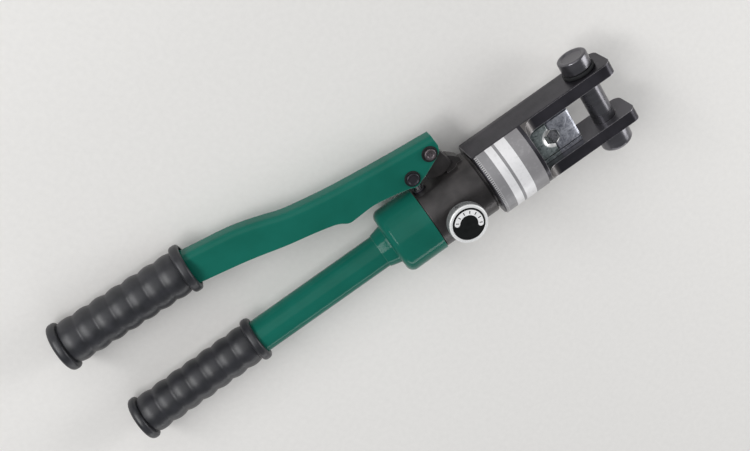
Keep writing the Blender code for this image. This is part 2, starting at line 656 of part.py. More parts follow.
outlet_ball = ball("outlet_ball", CHECK_BALL_R, (outlet_seat + CHECK_BALL_R + CLEAR, OUTLET_Y, 0))
outlet_low = outlet_seat + 2 * CHECK_BALL_R + 2 * CLEAR
outlet_spring = coil(
    "outlet_spring", "X", outlet_low, outlet_low + CHECK_SPRING_LEN, coil_r, coil_wire, 4, (0, OUTLET_Y, 0), 8, 4
)
outlet_plug_x = outlet_low + CHECK_SPRING_LEN + CLEAR
outlet_plug = turned("outlet_plug", [
    (outlet_plug_x, PORT_R), (outlet_plug_x, valve_r), (outlet_plug_x + CHECK_PLUG_LEN, valve_r),
    (outlet_plug_x + CHECK_PLUG_LEN, PORT_R),
], "X", (0, OUTLET_Y, 0), TINY_ROUND)
relief_top = RELIEF_DEPTH - BODY_R
relief_ball = ball("relief_ball", CHECK_BALL_R, (RELIEF_X, 0, relief_top - CHECK_BALL_R - CLEAR))
relief_high = relief_top - 2 * CHECK_BALL_R - 2 * CLEAR
relief_plug_z = RELIEF_PLUG_LEN + RELIEF_SUNK - BODY_R
relief_spring = coil(
    "relief_spring", "Z", relief_plug_z + CLEAR, relief_high, coil_r, coil_wire, 4, (RELIEF_X, 0, 0), 8, 4
)
relief_plug = turned("relief_plug", [
    (relief_plug_z - RELIEF_PLUG_LEN, 0), (relief_plug_z - RELIEF_PLUG_LEN, valve_r), (relief_plug_z, valve_r),
    (relief_plug_z, 0),
], "Z", (RELIEF_X, 0, 0), TINY_ROUND)
relief_socket = hexagon(valve_r)
cut(relief_plug, extruded(
    "relief_socket", relief_socket, "Z", -BODY_R, relief_plug_z - 0.5 * RELIEF_PLUG_LEN, (RELIEF_X, 0, 0)
))

# reservoir cup with a rounded back and a neck for the tube
cup_fillet = [
    (x, r) for x, r in arc((CUP_REAR_X + CUP_FILLET, CUP_R - CUP_FILLET), CUP_FILLET, 180, 90, 6)
]
reservoir_cup = turned("reservoir_cup", [
    (CUP_FRONT_X, CUP_R), (CUP_FRONT_X, CUP_BORE_R), (CUP_SHOULDER_X, CUP_BORE_R),
    (CUP_SHOULDER_X, TUBE_R - TUBE_WALL), (CUP_SHOULDER_X - CUP_LIP, TUBE_R - TUBE_WALL),
    (CUP_SHOULDER_X - CUP_LIP, TUBE_R + CLEAR), (CUP_END_X, TUBE_R + CLEAR), (CUP_END_X, CUP_NECK_END_R),
    (CUP_END_X + 0.0012, CUP_NECK_END_R + 0.0005), (CUP_REAR_X - 0.0012, CUP_NECK_R), (CUP_REAR_X, CUP_NECK_R + 0.0012),
] + cup_fillet)
handle_tube = turned("handle_tube", [
    (TUBE_X, TUBE_R), (TUBE_X, TUBE_R - TUBE_WALL), (TUBE_END_X, TUBE_R - TUBE_WALL), (TUBE_END_X, TUBE_R),
], facets=ROUND)

# oil bladder: a rubber bag whose neck is clamped on the spigot's nipple
neck_in, neck_out = NIPPLE_R + CLEAR, NIPPLE_R + CLEAR + BLADDER_WALL
mouth_x = SPIGOT_X - CLEAR
bag_x = mouth_x - BLADDER_NECK_LEN
bag_end = mouth_x - BLADDER_LEN
bag_in = BLADDER_R - BLADDER_WALL
oil_bladder = turned("oil_bladder", [
    (mouth_x, neck_in), (mouth_x, neck_out), (bag_x, neck_out), (bag_x - 0.004, BLADDER_R), (bag_end + 0.008, BLADDER_R),
    (bag_end + 0.002, 0.7 * BLADDER_R), (bag_end, 0), (bag_end + BLADDER_WALL, 0),
    (bag_end + 0.008, bag_in), (bag_x - 0.004, bag_in), (bag_x, neck_in),
], facets=SMALL_ROUND)
clamp_x = mouth_x - CLAMP_FROM_MOUTH
bladder_clamp = turned(
    "bladder_clamp", ring_section(clamp_x - CLAMP_W, clamp_x, neck_out + CLEAR, neck_out + CLEAR + CLAMP_T),
    facets=SMALL_ROUND,
)
plug_r = TUBE_R - TUBE_WALL - CLEAR
handle_end_plug = turned("handle_end_plug", [
    (PLUG_END_X, 0), (PLUG_END_X, TUBE_R), (PLUG_END_X + PLUG_FLANGE, TUBE_R), (PLUG_END_X + PLUG_FLANGE, plug_r),
    (TUBE_END_X + PLUG_LEN - 0.001, plug_r), (TUBE_END_X + PLUG_LEN, plug_r - 0.001), (TUBE_END_X + PLUG_LEN, 0),
], facets=SMALL_ROUND)
handle_grip = turned("handle_grip", grip_outline(
    GRIP_LEN, GRIP_CREST_R, GRIP_VALLEY_R, GRIP_BEAD_R, GRIP_FRONT_BEAD, GRIP_END_BEAD, TUBE_R + CLEAR, GRIP_END_WALL
), at=(GRIP_X, 0, 0), facets=GRIP_ROUND)

# lever: sheet folded into a channel that is open below, with a lobe at the plunger pin and a tang in the grip
tang_x = LEVER_BACK[-1][0]
tang_dir = Vector((-math.cos(LEVER_GRIP_TILT), math.sin(LEVER_GRIP_TILT)))
tang_up = Vector((tang_dir.y, -tang_dir.x))
grip_mouth = Vector((LEVER_GRIP_X, LEVER_GRIP_Y))
tang_ends = [grip_mouth + tang_dir * s for s in (TANG_START, LEVER_TANG_LEN)]


def lever_outline(inset):
    """The side of the lever about its datum; an inset moves its back and its tang's back inwards."""
    back = [Vector(p) for p in smooth(LEVER_BACK, 3)]
    moved = []
    for i, p in enumerate(back):
        run = back[min(i + 1, len(back) - 1)] - back[max(i - 1, 0)]
        moved.append(p + Vector((-run.y, run.x)).normalized() * inset)
    tang = [e + tang_up * (LEVER_TANG_H / 2 - inset) for e in tang_ends]
    return [tuple(p) for p in moved + tang]


back_line = lever_outline(0)
lobe = arc(LINK - LEVER, LEVER_LOBE_R, -58, -128, 6)
belly = smooth(LEVER_BELLY, 3)
tang_low = [tuple(e - tang_up * LEVER_TANG_H / 2) for e in reversed(tang_ends)]
side = back_line + tang_low + belly[::-1] + lobe[::-1] + [p for p in reversed(LEVER_EDGE)]
lever_at = (*LEVER, 0)
lever_channel = extruded("lever_channel", side, "Z", -CHEEK_Z, CHEEK_Z, lever_at)
bm = bmesh.new()
bm.from_mesh(lever_channel.data)
bm.verts.ensure_lookup_table()
count, backs = len(side), len(back_line)
folds = [
    bm.edges.get((bm.verts[k * count + i], bm.verts[k * count + i + 1])) for k in (0, 1) for i in range(backs - 1)
]
bmesh.ops.bevel(bm, geom=folds, offset=LEVER_BEND_R, segments=3, profile=0.5, affect="EDGES", clamp_overlap=True)
bmesh.ops.recalc_face_normals(bm, faces=bm.faces)
bm.to_mesh(lever_channel.data)
bm.free()
hollow = lever_outline(LEVER_SHEET)
first, last = Vector(hollow[0]), Vector(hollow[-1])
hollow = [(first.x + 0.01, first.y)] + hollow + [tuple(last + tang_dir * 0.01)]
hollow_low = LINK.y - LEVER.y - 0.03
hollow += [(hollow[-1][0], hollow_low), (first.x + 0.01, hollow_low)]
cut(lever_channel, extruded("lever_hollow", hollow, "Z", LEVER_SHEET - CHEEK_Z, CHEEK_Z - LEVER_SHEET, lever_at))
for at, radius in ((Vector((FULCRUM_X, FULCRUM_Y)), FULCRUM_R), (LINK, LINK_PIN_R)):
    cut(lever_channel, turned("cheek_hole", [
        (-2 * CHEEK_Z, 0), (-2 * CHEEK_Z, radius + CLEAR), (2 * CHEEK_Z, radius + CLEAR), (2 * CHEEK_Z, 0),
    ], "Z", (at.x, at.y, 0), SMALL_ROUND))
lever_grip = turned("lever_grip", grip_outline(
    LEVER_GRIP_LEN, LEVER_GRIP_CREST_R, LEVER_GRIP_VALLEY_R, LEVER_GRIP_BEAD_R, LEVER_GRIP_FRONT_BEAD,
    LEVER_GRIP_END_BEAD, math.hypot(LEVER_TANG_H / 2, CHEEK_Z) + CLEAR, LEVER_GRIP_END_WALL,
    (LEVER_GRIP_MOUTH_LEN, LEVER_GRIP_MOUTH_R),
), facets=GRIP_ROUND)
lever_grip.data.transform(
    Matrix.Translation((LEVER.x + LEVER_GRIP_X, LEVER.y + LEVER_GRIP_Y, 0)) @ Matrix.Rotation(-LEVER_GRIP_TILT, 4, "Z")
)

# fulcrum bolt with a nut, plunger pin with a clip
bolt_end = -HEAD_Z - FULCRUM_NUT_T - LINK_PIN_END / 2
fulcrum_bolt = turned("fulcrum_bolt", [
    (bolt_end, 0), (bolt_end, FULCRUM_R), (HEAD_Z, FULCRUM_R), (HEAD_Z, BOLT_HEAD_R),
    (HEAD_Z + BOLT_HEAD_T - 0.0006, BOLT_HEAD_R), (HEAD_Z + BOLT_HEAD_T, BOLT_HEAD_R - 0.0006), (HEAD_Z + BOLT_HEAD_T, 0),
], "Z", (FULCRUM_X, FULCRUM_Y, 0), SMALL_ROUND)
fulcrum_nut = extruded("fulcrum_nut", hexagon(FULCRUM_NUT_AF), "Z", -HEAD_Z - FULCRUM_NUT_T, -HEAD_Z, (FULCRUM_X, FULCRUM_Y, 0))
cut(fulcrum_nut, turned("nut_thread", [
    (-4 * HEAD_Z, 0), (-4 * HEAD_Z, FULCRUM_R + CLEAR), (4 * HEAD_Z, FULCRUM_R + CLEAR), (4 * HEAD_Z, 0),
], "Z", (FULCRUM_X, FULCRUM_Y, 0), SMALL_ROUND))
clip_low = -HEAD_Z - CLIP_T
pin_end = clip_low - LINK_PIN_END
plunger_pin = turned("plunger_pin", [
    (pin_end, 0), (pin_end, LINK_PIN_R), (clip_low - CLEAR, LINK_PIN_R), (clip_low - CLEAR, LINK_PIN_R - CLIP_GROOVE),
    (-HEAD_Z + CLEAR / 2, LINK_PIN_R - CLIP_GROOVE), (-HEAD_Z + CLEAR / 2, LINK_PIN_R), (HEAD_Z, LINK_PIN_R), (HEAD_Z, BOLT_HEAD_R),
    (HEAD_Z + BOLT_HEAD_T - 0.0006, BOLT_HEAD_R), (HEAD_Z + BOLT_HEAD_T, BOLT_HEAD_R - 0.0006), (HEAD_Z + BOLT_HEAD_T, 0),
], "Z", (LINK.x, LINK.y, 0), SMALL_ROUND)
clip_in = LINK_PIN_R - CLIP_GROOVE + CLEAR
plunger_pin_clip = extruded("plunger_pin_clip", (
    arc((0, 0), CLIP_R, 35, 325, 14) + arc((0, 0), clip_in, 325, 35, 14)
), "Z", clip_low, -HEAD_Z, (LINK.x, LINK.y, 0))

# plunger: a ground rod with a slotted eye, in a packing gland
eye = arc((EYE_HALF_X - EYE_HALF_H, 0), EYE_HALF_H, -90, 90, 8) + arc((EYE_HALF_H - EYE_HALF_X, 0), EYE_HALF_H, 90, 270, 8)
pump_plunger = turned("pump_plunger", [
    (PLUNGER_FOOT_Y, 0), (PLUNGER_FOOT_Y, PLUNGER_R - 0.0006), (PLUNGER_FOOT_Y + 0.0006, PLUNGER_R),
    (LINK.y - EYE_HALF_H + 0.001, PLUNGER_R), (LINK.y - EYE_HALF_H + 0.001, 0),
], "Y", (PLUNGER_X, 0, 0), SMALL_ROUND)
fuse(pump_plunger, extruded("eye", eye, "Z", -LUG_T / 2, LUG_T / 2, (PLUNGER_X, LINK.y, 0)))
slot = arc((SLOT_X - SLOT_Y, 0), SLOT_Y, -90, 90, 8) + arc((SLOT_Y - SLOT_X, 0), SLOT_Y, 90, 270, 8)
cut(pump_plunger, extruded("slot", slot, "Z", -LUG_T, LUG_T, (PLUNGER_X, LINK.y, 0)))
gland_low, gland_top = PUMP_FLAT_Y - PLUNGER_GLAND_LEN, PUMP_FLAT_Y + PLUNGER_GLAND_T
plunger_gland = turned("plunger_gland", [
    (gland_low, PLUNGER_R + CLEAR), (gland_low, PLUNGER_GLAND_R), (gland_top - 0.0005, PLUNGER_GLAND_R),
    (gland_top, PLUNGER_GLAND_R - 0.0005), (gland_top, PLUNGER_R + CLEAR),
], "Y", (PLUNGER_X, 0, 0), SMALL_ROUND)
plunger_seal = turned("plunger_seal", ring_section(
    gland_floor + CLEAR, gland_floor + CLEAR + SEAL_T, PLUNGER_R + CLEAR / 2, PLUNGER_GLAND_R
), "Y", (PLUNGER_X, 0, 0), SMALL_ROUND)

# release valve: gland, stem, knurled knob with a black disc let into its face
gland_z = VALVE_SEAT_Z + CLEAR
knob_at = (KNOB_X, 0, 0)
valve_gland_nut = extruded("valve_gland_nut", hexagon(VALVE_GLAND_AF), "Z", gland_z, gland_z + VALVE_GLAND_T, knob_at)
fuse(valve_gland_nut, turned("valve_thread", [
    (VALVE_SEAT_Z - VALVE_GLAND_LEN, 0), (VALVE_SEAT_Z - VALVE_GLAND_LEN, VALVE_GLAND_R), (gland_z + 0.001, VALVE_GLAND_R),
    (gland_z + 0.001, 0),
], "Z", knob_at, SMALL_ROUND))
cut(valve_gland_nut, turned("valve_gland_bore", [
    (0, 0), (0, STEM_R + CLEAR), (2 * BODY_R, STEM_R + CLEAR), (2 * BODY_R, 0),
], "Z", knob_at, SMALL_ROUND))
stem_top = DISC_Z - CLEAR
release_stem = turned("release_stem", [
    (stem_top - STEM_LEN - STEM_TIP, 0), (stem_top - STEM_LEN, STEM_R), (stem_top, STEM_R), (stem_top, 0),
], "Z", knob_at, SMALL_ROUND)
tooth_angles = [math.tau * i / (2 * KNOB_TEETH) for i in range(2 * KNOB_TEETH)]
rim = [
    ((KNOB_R - KNOB_TOOTH * (i % 2)) * math.cos(a), (KNOB_R - KNOB_TOOTH * (i % 2)) * math.sin(a))
    for i, a in enumerate(tooth_angles)
]
release_knob = extruded("release_knob", rim, "Z", KNOB_Z, KNOB_FACE_Z, knob_at)
screw_z = KNOB_Z + 0.4 * KNOB_H
cut(
    release_knob,
    turned("knob_bore", [
        (0, 0), (0, STEM_R + CLEAR), (DISC_Z - CLEAR, STEM_R + CLEAR), (DISC_Z - CLEAR, KNOB_DISC_R + CLEAR),
        (2 * KNOB_FACE_Z, KNOB_DISC_R + CLEAR), (2 * KNOB_FACE_Z, 0),
    ], "Z", knob_at, ROUND),
    turned("knob_screw_hole", [
        (0, 0), (0, KNOB_SCREW_R + CLEAR), (2 * KNOB_R, KNOB_SCREW_R + CLEAR), (2 * KNOB_R, 0),
    ], "Y", (KNOB_X, 0, screw_z), TINY_ROUND),
)
knob_disc = turned("knob_disc", [
    (DISC_Z, 0), (DISC_Z, KNOB_DISC_R), (KNOB_FACE_Z, KNOB_DISC_R), (KNOB_FACE_Z, 0),
], "Z", knob_at, ROUND)
knob_grub_screw = turned("knob_grub_screw", [
    (STEM_R + CLEAR, 0), (STEM_R + CLEAR, KNOB_SCREW_R), (0.9 * KNOB_R, KNOB_SCREW_R), (0.9 * KNOB_R, 0),
], "Y", (KNOB_X, 0, screw_z), TINY_ROUND)

# ram: piston, rod and a stud for the lower die
seal_x = PISTON_X + (PISTON_LEN - PISTON_SEAL_W) / 2
ram = turned("ram", [
    (PISTON_X, 0), (PISTON_X, nose_r), (seal_x - CLEAR, nose_r), (seal_x - CLEAR, nose_r - PISTON_SEAL_DEPTH),
    (seal_x + PISTON_SEAL_W + CLEAR, nose_r - PISTON_SEAL_DEPTH), (seal_x + PISTON_SEAL_W + CLEAR, nose_r),
    (RAM_SHOULDER_X, nose_r), (RAM_SHOULDER_X, RAM_ROD_R), (RAM_FACE_X, RAM_ROD_R), (RAM_FACE_X, RAM_STUD_R),
    (RAM_FACE_X + RAM_STUD_LEN, RAM_STUD_R), (RAM_FACE_X + RAM_STUD_LEN, 0),
])
piston_seal = turned(
    "piston_seal", ring_section(seal_x, seal_x + PISTON_SEAL_W, nose_r - PISTON_SEAL_DEPTH + CLEAR, nose_r + CLEAR / 2)
)
spring_r = (RAM_ROD_R + CYLINDER_R) / 2
return_spring = coil(
    "return_spring", "X", RAM_SHOULDER_X + CLEAR, WALL_X - CLEAR, spring_r, SPRING_WIRE_R, SPRING_TURNS, steps=14, sides=5
)


def die_plate(name, low, high, front, half, thick):
    """A plate of a die with eased corners at its free end."""
    back = -1 if front > low else 1
    outline = [(front + back * DIE_EDGE, -half), (front, DIE_EDGE - half), (front, half - DIE_EDGE), (front + back * DIE_EDGE, half)]
    far = low if front == high else high
    return extruded(name, outline + [(far, half), (far, -half)], "Z", -thick / 2, thick / 2)


def die(name, low, high, front):
    """A die block, guided by a rail on either side in the yoke's slot, with half of the hexagon at the parting plane."""
    block_side = die_plate(name, low, high, front, DIE_H / 2, DIE_T)
    fuse(block_side, die_plate("rails", low, high, front, YOKE_FLAT_Y - ARM_T - CLEAR, DIE_RAIL_T))
    return cut(block_side, extruded("hexagon", hexagon(HEX_AF, ((PARTING_X + UPPER_DIE_X) / 2, 0), 30), "Z", -DIE_T, DIE_T))


lower_die = die("lower_die", LOWER_DIE_X, PARTING_X, LOWER_DIE_X)
upper_die = die("upper_die", UPPER_DIE_X, DIE_FRONT_X, DIE_FRONT_X)
cut(lower_die, turned("stud_hole", [
    (LOWER_DIE_X - 0.01, 0), (LOWER_DIE_X - 0.01, RAM_STUD_R + CLEAR), (RAM_FACE_X + RAM_STUD_LEN + CLEAR, RAM_STUD_R + CLEAR),
    (RAM_FACE_X + RAM_STUD_LEN + CLEAR, 0),
], facets=SMALL_ROUND))
die_screw_x = RAM_FACE_X + RAM_STUD_LEN / 2
cut(lower_die, turned("die_screw_hole", [
    (-DIE_T, 0), (-DIE_T, DIE_SCREW_R + CLEAR), (0, DIE_SCREW_R + CLEAR), (0, 0),
], "Z", (die_screw_x, 0, 0), TINY_ROUND))
die_grub_screw = turned("die_grub_screw", [
    (CLEAR - DIE_T / 2, 0), (CLEAR - DIE_T / 2, DIE_SCREW_R), (-RAM_STUD_R - CLEAR, DIE_SCREW_R), (-RAM_STUD_R - CLEAR, 0),
], "Z", (die_screw_x, 0, 0), TINY_ROUND)
dowels = []
for name, side_y in (("die_dowel_upper", DOWEL_Y), ("die_dowel_lower", -DOWEL_Y)):
    middle = (PARTING_X + UPPER_DIE_X) / 2
    low, high = middle - DOWEL_LEN / 2, middle + DOWEL_LEN / 2
    hole = [(low - CLEAR, 0), (low - CLEAR, DOWEL_R + CLEAR), (high + CLEAR, DOWEL_R + CLEAR), (high + CLEAR, 0)]
    for half_die in (lower_die, upper_die):
        cut(half_die, turned("dowel_hole", hole, at=(0, side_y, 0), facets=TINY_ROUND))
    dowels.append(turned(
        name, [(low, 0), (low, DOWEL_R), (high, DOWEL_R), (high, 0)], at=(0, side_y, 0), facets=TINY_ROUND
    ))

finish(tool, steel_black, yoke, pin_keeper)
finish(tool, zinc, bladder_clamp, handle_end_plug, valve_gland_nut, plunger_gland)
finish(tool, foil, rating_plate)
finish(tool, cast_black, pump_body)
finish(tool, green, reservoir_cup, handle_tube)
finish(tool, rubber, handle_grip)
finish(tool, bladder_rubber, oil_bladder)
finish(tool, seal_rubber, cylinder_o_ring, reservoir_o_ring, plunger_seal)
finish(tool, bright, inlet_ball, outlet_ball, relief_ball, outlet_plug, relief_plug)
finish(tool, strainer_brass, suction_strainer)
finish(tool, spring_steel, return_spring, inlet_spring, outlet_spring, relief_spring)
finish(ram_axis, bright, ram, die_grub_screw, *dowels)
finish(ram_axis, zinc, lower_die, upper_die)
finish(ram_axis, seal_rubber, piston_seal)
finish(pin_axis, steel_black, latch_pin)
finish(pin_axis, seal_rubber, pin_ring)
finish(pin_axis, bright, pin_detent_ball)
finish(pin_axis, spring_steel, pin_detent_spring)
finish(lever_axis, green, lever_channel)
finish(lever_axis, rubber, lever_grip)
finish(lever_axis, steel_black, fulcrum_bolt, fulcrum_nut, plunger_pin, plunger_pin_clip)
finish(plunger_axis, bright, pump_plunger)
finish(knob_axis, aluminium, release_knob)
finish(knob_axis, black_plastic, knob_disc)
finish(knob_axis, bright, release_stem, knob_grub_screw)

# the origin is under the middle of the whole tool
corners = [piece.matrix_world @ v.co for piece in bpy.data.objects if piece.type == "MESH" for v in piece.data.vertices]
spans = [(min(c[i] for c in corners), max(c[i] for c in corners)) for i in range(3)]
tool.location = (-sum(spans[0]) / 2, -sum(spans[1]) / 2, -spans[2][0])
bpy.context.view_layer.update()
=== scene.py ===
"""Looks of a hand-pumped hydraulic crimping tool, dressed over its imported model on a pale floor.

Shapes are written in the tool's own frame, in metres: X along the tool towards the head, counted
from the release knob, Y towards the pump lever and Z up through the knob.
"""

import math

import bmesh
import bpy
from mathutils import Matrix, Vector


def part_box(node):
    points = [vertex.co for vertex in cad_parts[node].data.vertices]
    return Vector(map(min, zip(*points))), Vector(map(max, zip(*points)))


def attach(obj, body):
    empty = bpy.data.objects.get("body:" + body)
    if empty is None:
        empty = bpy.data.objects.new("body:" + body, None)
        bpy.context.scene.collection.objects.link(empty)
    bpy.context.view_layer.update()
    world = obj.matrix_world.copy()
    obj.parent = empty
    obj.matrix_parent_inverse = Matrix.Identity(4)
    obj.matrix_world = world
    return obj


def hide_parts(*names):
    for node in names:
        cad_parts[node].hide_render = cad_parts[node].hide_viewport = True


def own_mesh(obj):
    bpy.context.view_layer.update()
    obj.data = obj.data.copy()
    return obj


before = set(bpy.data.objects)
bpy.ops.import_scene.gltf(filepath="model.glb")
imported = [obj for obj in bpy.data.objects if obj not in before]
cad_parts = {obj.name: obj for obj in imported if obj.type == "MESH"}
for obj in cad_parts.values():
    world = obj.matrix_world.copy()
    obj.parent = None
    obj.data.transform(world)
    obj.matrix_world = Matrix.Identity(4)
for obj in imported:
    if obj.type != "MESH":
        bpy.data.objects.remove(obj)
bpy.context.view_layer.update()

FACETS = 96  # round a turned piece
WELD = 0.000004  # points closer than this after a cut become one
CLEAR = 0.0003  # gap between pieces that touch
KNOB_X, KNOB_FACE_Z = -0.0013, 0.0440
knob_low, knob_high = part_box("release_knob")
ORIGIN = Vector((
    (knob_low[0] + knob_high[0]) / 2 - KNOB_X,
    (knob_low[1] + knob_high[1]) / 2,
    knob_high[2] - KNOB_FACE_Z,
))

# local z of a turned or extruded piece, laid along an axis of the tool
LAY = {
    "X": Matrix(((0, 0, 1, 0), (1, 0, 0, 0), (0, 1, 0, 0), (0, 0, 0, 1))),
    "Y": Matrix(((0, 1, 0, 0), (0, 0, 1, 0), (1, 0, 0, 0), (0, 0, 0, 1))),
    "Z": Matrix.Identity(4),
}

# the yoke's stations along the tool and its sizes across it
YOKE_X, BASE_FRONT_X, ARM_END_X = 0.0273, 0.0681, 0.1464
YOKE_R, YOKE_FLAT_Y, ARM_INNER_Y, ARM_HALF_W = 0.0295, 0.0255, 0.0160, 0.0155
PIN_X, PIN_R, RUNOUT_R, NOSE_R = 0.1268, 0.0085, 0.0095, 0.0065
BORE_R, BORE_END_X, ROD_HOLE_R, ROD_HOLE_END_X = 0.0190, 0.0601, 0.0105 + CLEAR, 0.08
KEEPER_HOLE_R, KEEPER_SEAT_Y = 0.0105, 0.0222

# how far cutters reach: past any side, past the yoke's end, past the pump body, through a plate
OUTSIDE, AHEAD, PAST_BODY, THROUGH = 0.06, 0.2, 0.05, 0.02

# the rating plate: its outer radius and thickness, and where it lies along the tool and round it
PLATE_R, PLATE_T, PLATE_LOW_X, PLATE_HIGH_X = 0.0302, 0.0004, 0.0283, 0.0651
PLATE_FROM_DEG, PLATE_TO_DEG = 32, 148

# the dies: stations along the tool, half sizes, the hexagon and the cone round its mouth
DIE_LOW, PARTING, DIE_SPLIT, DIE_FRONT = 0.0693, 0.0848, 0.0851, 0.1038
DIE_Y, DIE_Z, RAIL_Y, RAIL_Z = 0.0115, 0.0095, ARM_INNER_Y - CLEAR, 0.0085
HEX_X, HEX_R = (PARTING + DIE_SPLIT) / 2, 0.0104 / math.sqrt(3)
MOUTH_R, MOUTH_DEEP, UPPER_MOUTH_R = 0.0078, 0.0013, 0.0056
GROOVE_W, GROOVE_DEEP, DIE_CORNER = 0.0016, 0.0022, 0.0010
DOWEL_Y, DOWEL_HALF, DOWEL_HOLE_R = 0.0092, 0.0048, 0.0017
FREE_CHAMFER, PARTING_CHAMFER = (0.0017, 0.0009), (0.0008, 0.0008)  # along the tool, and down
DIE_PAST = 0.01  # a cutter's reach beyond a die

# ---------------------------------------------------------------- materials


def linear(value):
    """Linear channels of an sRGB hex colour."""
    channels = [int(value[i:i + 2], 16) / 255 for i in (1, 3, 5)]
    return [c / 12.92 if c <= 0.04045 else ((c + 0.055) / 1.055) ** 2.4 for c in channels] + [1.0]


def add(tree, kind, settings=None, links=None):
    """Adds a node, sets its properties, sockets and colour stops, and links sockets to outputs."""
    node = tree.nodes.new("ShaderNode" + kind)
    for key, value in (settings or {}).items():
        if key == "stops":
            elements = node.color_ramp.elements
            for i, (position, colour) in enumerate(value):
                stop = elements[i] if i < len(elements) else elements.new(position)
                stop.position, stop.color = position, linear(colour)
        elif isinstance(key, str) and hasattr(node, key):
            setattr(node, key, value)
        else:
            node.inputs[key].default_value = value
    for key, source in (links or {}).items():
        tree.links.new(source, node.inputs[key])
    return node


def start(name, **shader_values):
    """A new material, its tree, its shader with uniform values, and a piece's place in metres."""
    look = bpy.data.materials.new(name)
    look.use_nodes = True
    tree = look.node_tree
    shader = tree.nodes["Principled BSDF"]
    for key, value in shader_values.items():
        shader.inputs[key.replace("_", " ")].default_value = value
    place = add(tree, "TexCoord").outputs["Object"]
    return look, tree, shader, place


def edge_mask(tree, radius, full):
    """0 on open faces, rising to 1 where rounding by a radius turns the normal by full's cosine."""
    geometry = add(tree, "NewGeometry")
    rounded = add(tree, "Bevel", {"samples": 8, "Radius": radius})
    match = add(
        tree, "VectorMath", {"operation": "DOT_PRODUCT"},
        {0: geometry.outputs["Normal"], 1: rounded.outputs["Normal"]},
    )
    return add(
        tree, "MapRange", {"From Min": 0.985, "From Max": full}, {"Value": match.outputs["Value"]},
    ).outputs["Result"]


def per_mm(size):
    """Texture scale that gives features of a size in millimetres."""
    return 1000.0 / size


def black_oxide():
    """Hot-blackened machined steel: near-black and satin, with cutter lines and worn edges."""
    look, tree, shader, place = start("black_oxide_steel", Metallic=0.72)
    # uneven blacking in clouds 14 mm across
    cloud = add(tree, "TexNoise", {"Scale": per_mm(14), "Detail": 4.0}, {"Vector": place})
    tone = add(
        tree, "ValToRGB", {"stops": ((0.32, "#323136"), (0.70, "#424046"))},
        {"Fac": cloud.outputs["Fac"]},
    )
    # faces of the yoke's slot, rubbed bright by the dies that slide between them
    spot = add(tree, "SeparateXYZ", links={"Vector": place})
    off = add(tree, "Math", {"operation": "SUBTRACT", 1: ORIGIN.y}, {0: spot.outputs["Y"]})
    out = add(tree, "Math", {"operation": "ABSOLUTE"}, {0: off.outputs["Value"]})
    within = add(
        tree, "Math", {"operation": "LESS_THAN", 1: ARM_INNER_Y + CLEAR}, {0: out.outputs["Value"]},
    )
    ahead = add(
        tree, "Math", {"operation": "GREATER_THAN", 1: ORIGIN.x + BASE_FRONT_X},
        {0: spot.outputs["X"]},
    )
    slot = add(
        tree, "Math", {"operation": "MULTIPLY"},
        {0: within.outputs["Value"], 1: ahead.outputs["Value"]},
    )
    rubbed = add(
        tree, "Mix", {"data_type": "RGBA", 7: linear("#605f64")},
        {0: slot.outputs["Value"], 6: tone.outputs["Color"]},
    )
    # the cutter's run-outs at the arms' roots: painted highlight over blacking that is thin there
    lift = add(tree, "Math", {"operation": "SUBTRACT", 1: ORIGIN.z}, {0: spot.outputs["Z"]})
    tall = add(tree, "Math", {"operation": "ABSOLUTE"}, {0: lift.outputs["Value"]})
    beside = add(
        tree, "Math", {"operation": "GREATER_THAN", 1: ARM_HALF_W - CLEAR},
        {0: tall.outputs["Value"]},
    )
    front = ORIGIN.x + BASE_FRONT_X
    runout_highlight = add(
        tree, "MapRange",
        {"From Min": front + RUNOUT_R, "From Max": front + RUNOUT_R / 2, "To Max": 0.55},
        {"Value": spot.outputs["X"]},
    )
    root = add(
        tree, "Math", {"operation": "MULTIPLY"},
        {0: ahead.outputs["Value"], 1: beside.outputs["Value"]},
    )
    thin = add(
        tree, "Math", {"operation": "MULTIPLY"},
        {0: root.outputs["Value"], 1: runout_highlight.outputs["Result"]},
    )
    milled = add(
        tree, "Mix", {"data_type": "RGBA", 7: linear("#827e7b")},
        {0: thin.outputs["Value"], 6: rubbed.outputs[2]},
    )
    # edges rubbed through to steel and painted with a highlight, broken up by a 1.5 mm noise
    rub = add(tree, "TexNoise", {"Scale": per_mm(1.5), "Detail": 3.0}, {"Vector": place})
    bare = add(
        tree, "MapRange", {"From Min": 0.30, "From Max": 0.60, "To Min": 0.25},
        {"Value": rub.outputs["Fac"]},
    )
    worn = add(
        tree, "Math", {"operation": "MULTIPLY"},
        {0: edge_mask(tree, radius=0.0008, full=0.85), 1: bare.outputs["Result"]},
    )
    mix = add(
        tree, "Mix", {"data_type": "RGBA", 7: linear("#b4b1b3")},
        {0: worn.outputs["Value"], 6: milled.outputs[2]},
    )
    tree.links.new(mix.outputs[2], shader.inputs["Base Color"])
    # cutter lines 0.7 mm apart along the tool, coarser than real ones so that they show
    stretch = add(tree, "Mapping", {"Scale": (1.0, 0.06, 0.06)}, {"Vector": place})
    lines = add(
        tree, "TexNoise", {"Scale": per_mm(0.7), "Detail": 2.0},
        {"Vector": stretch.outputs["Vector"]},
    )
    rough = add(tree, "MapRange", {"To Min": 0.26, "To Max": 0.40}, {"Value": lines.outputs["Fac"]})
    tree.links.new(rough.outputs["Result"], shader.inputs["Roughness"])
    bump = add(
        tree, "Bump", {"Strength": 0.10, "Distance": 0.0001}, {"Height": lines.outputs["Fac"]},
    )
    tree.links.new(bump.outputs["Normal"], shader.inputs["Normal"])
    return look


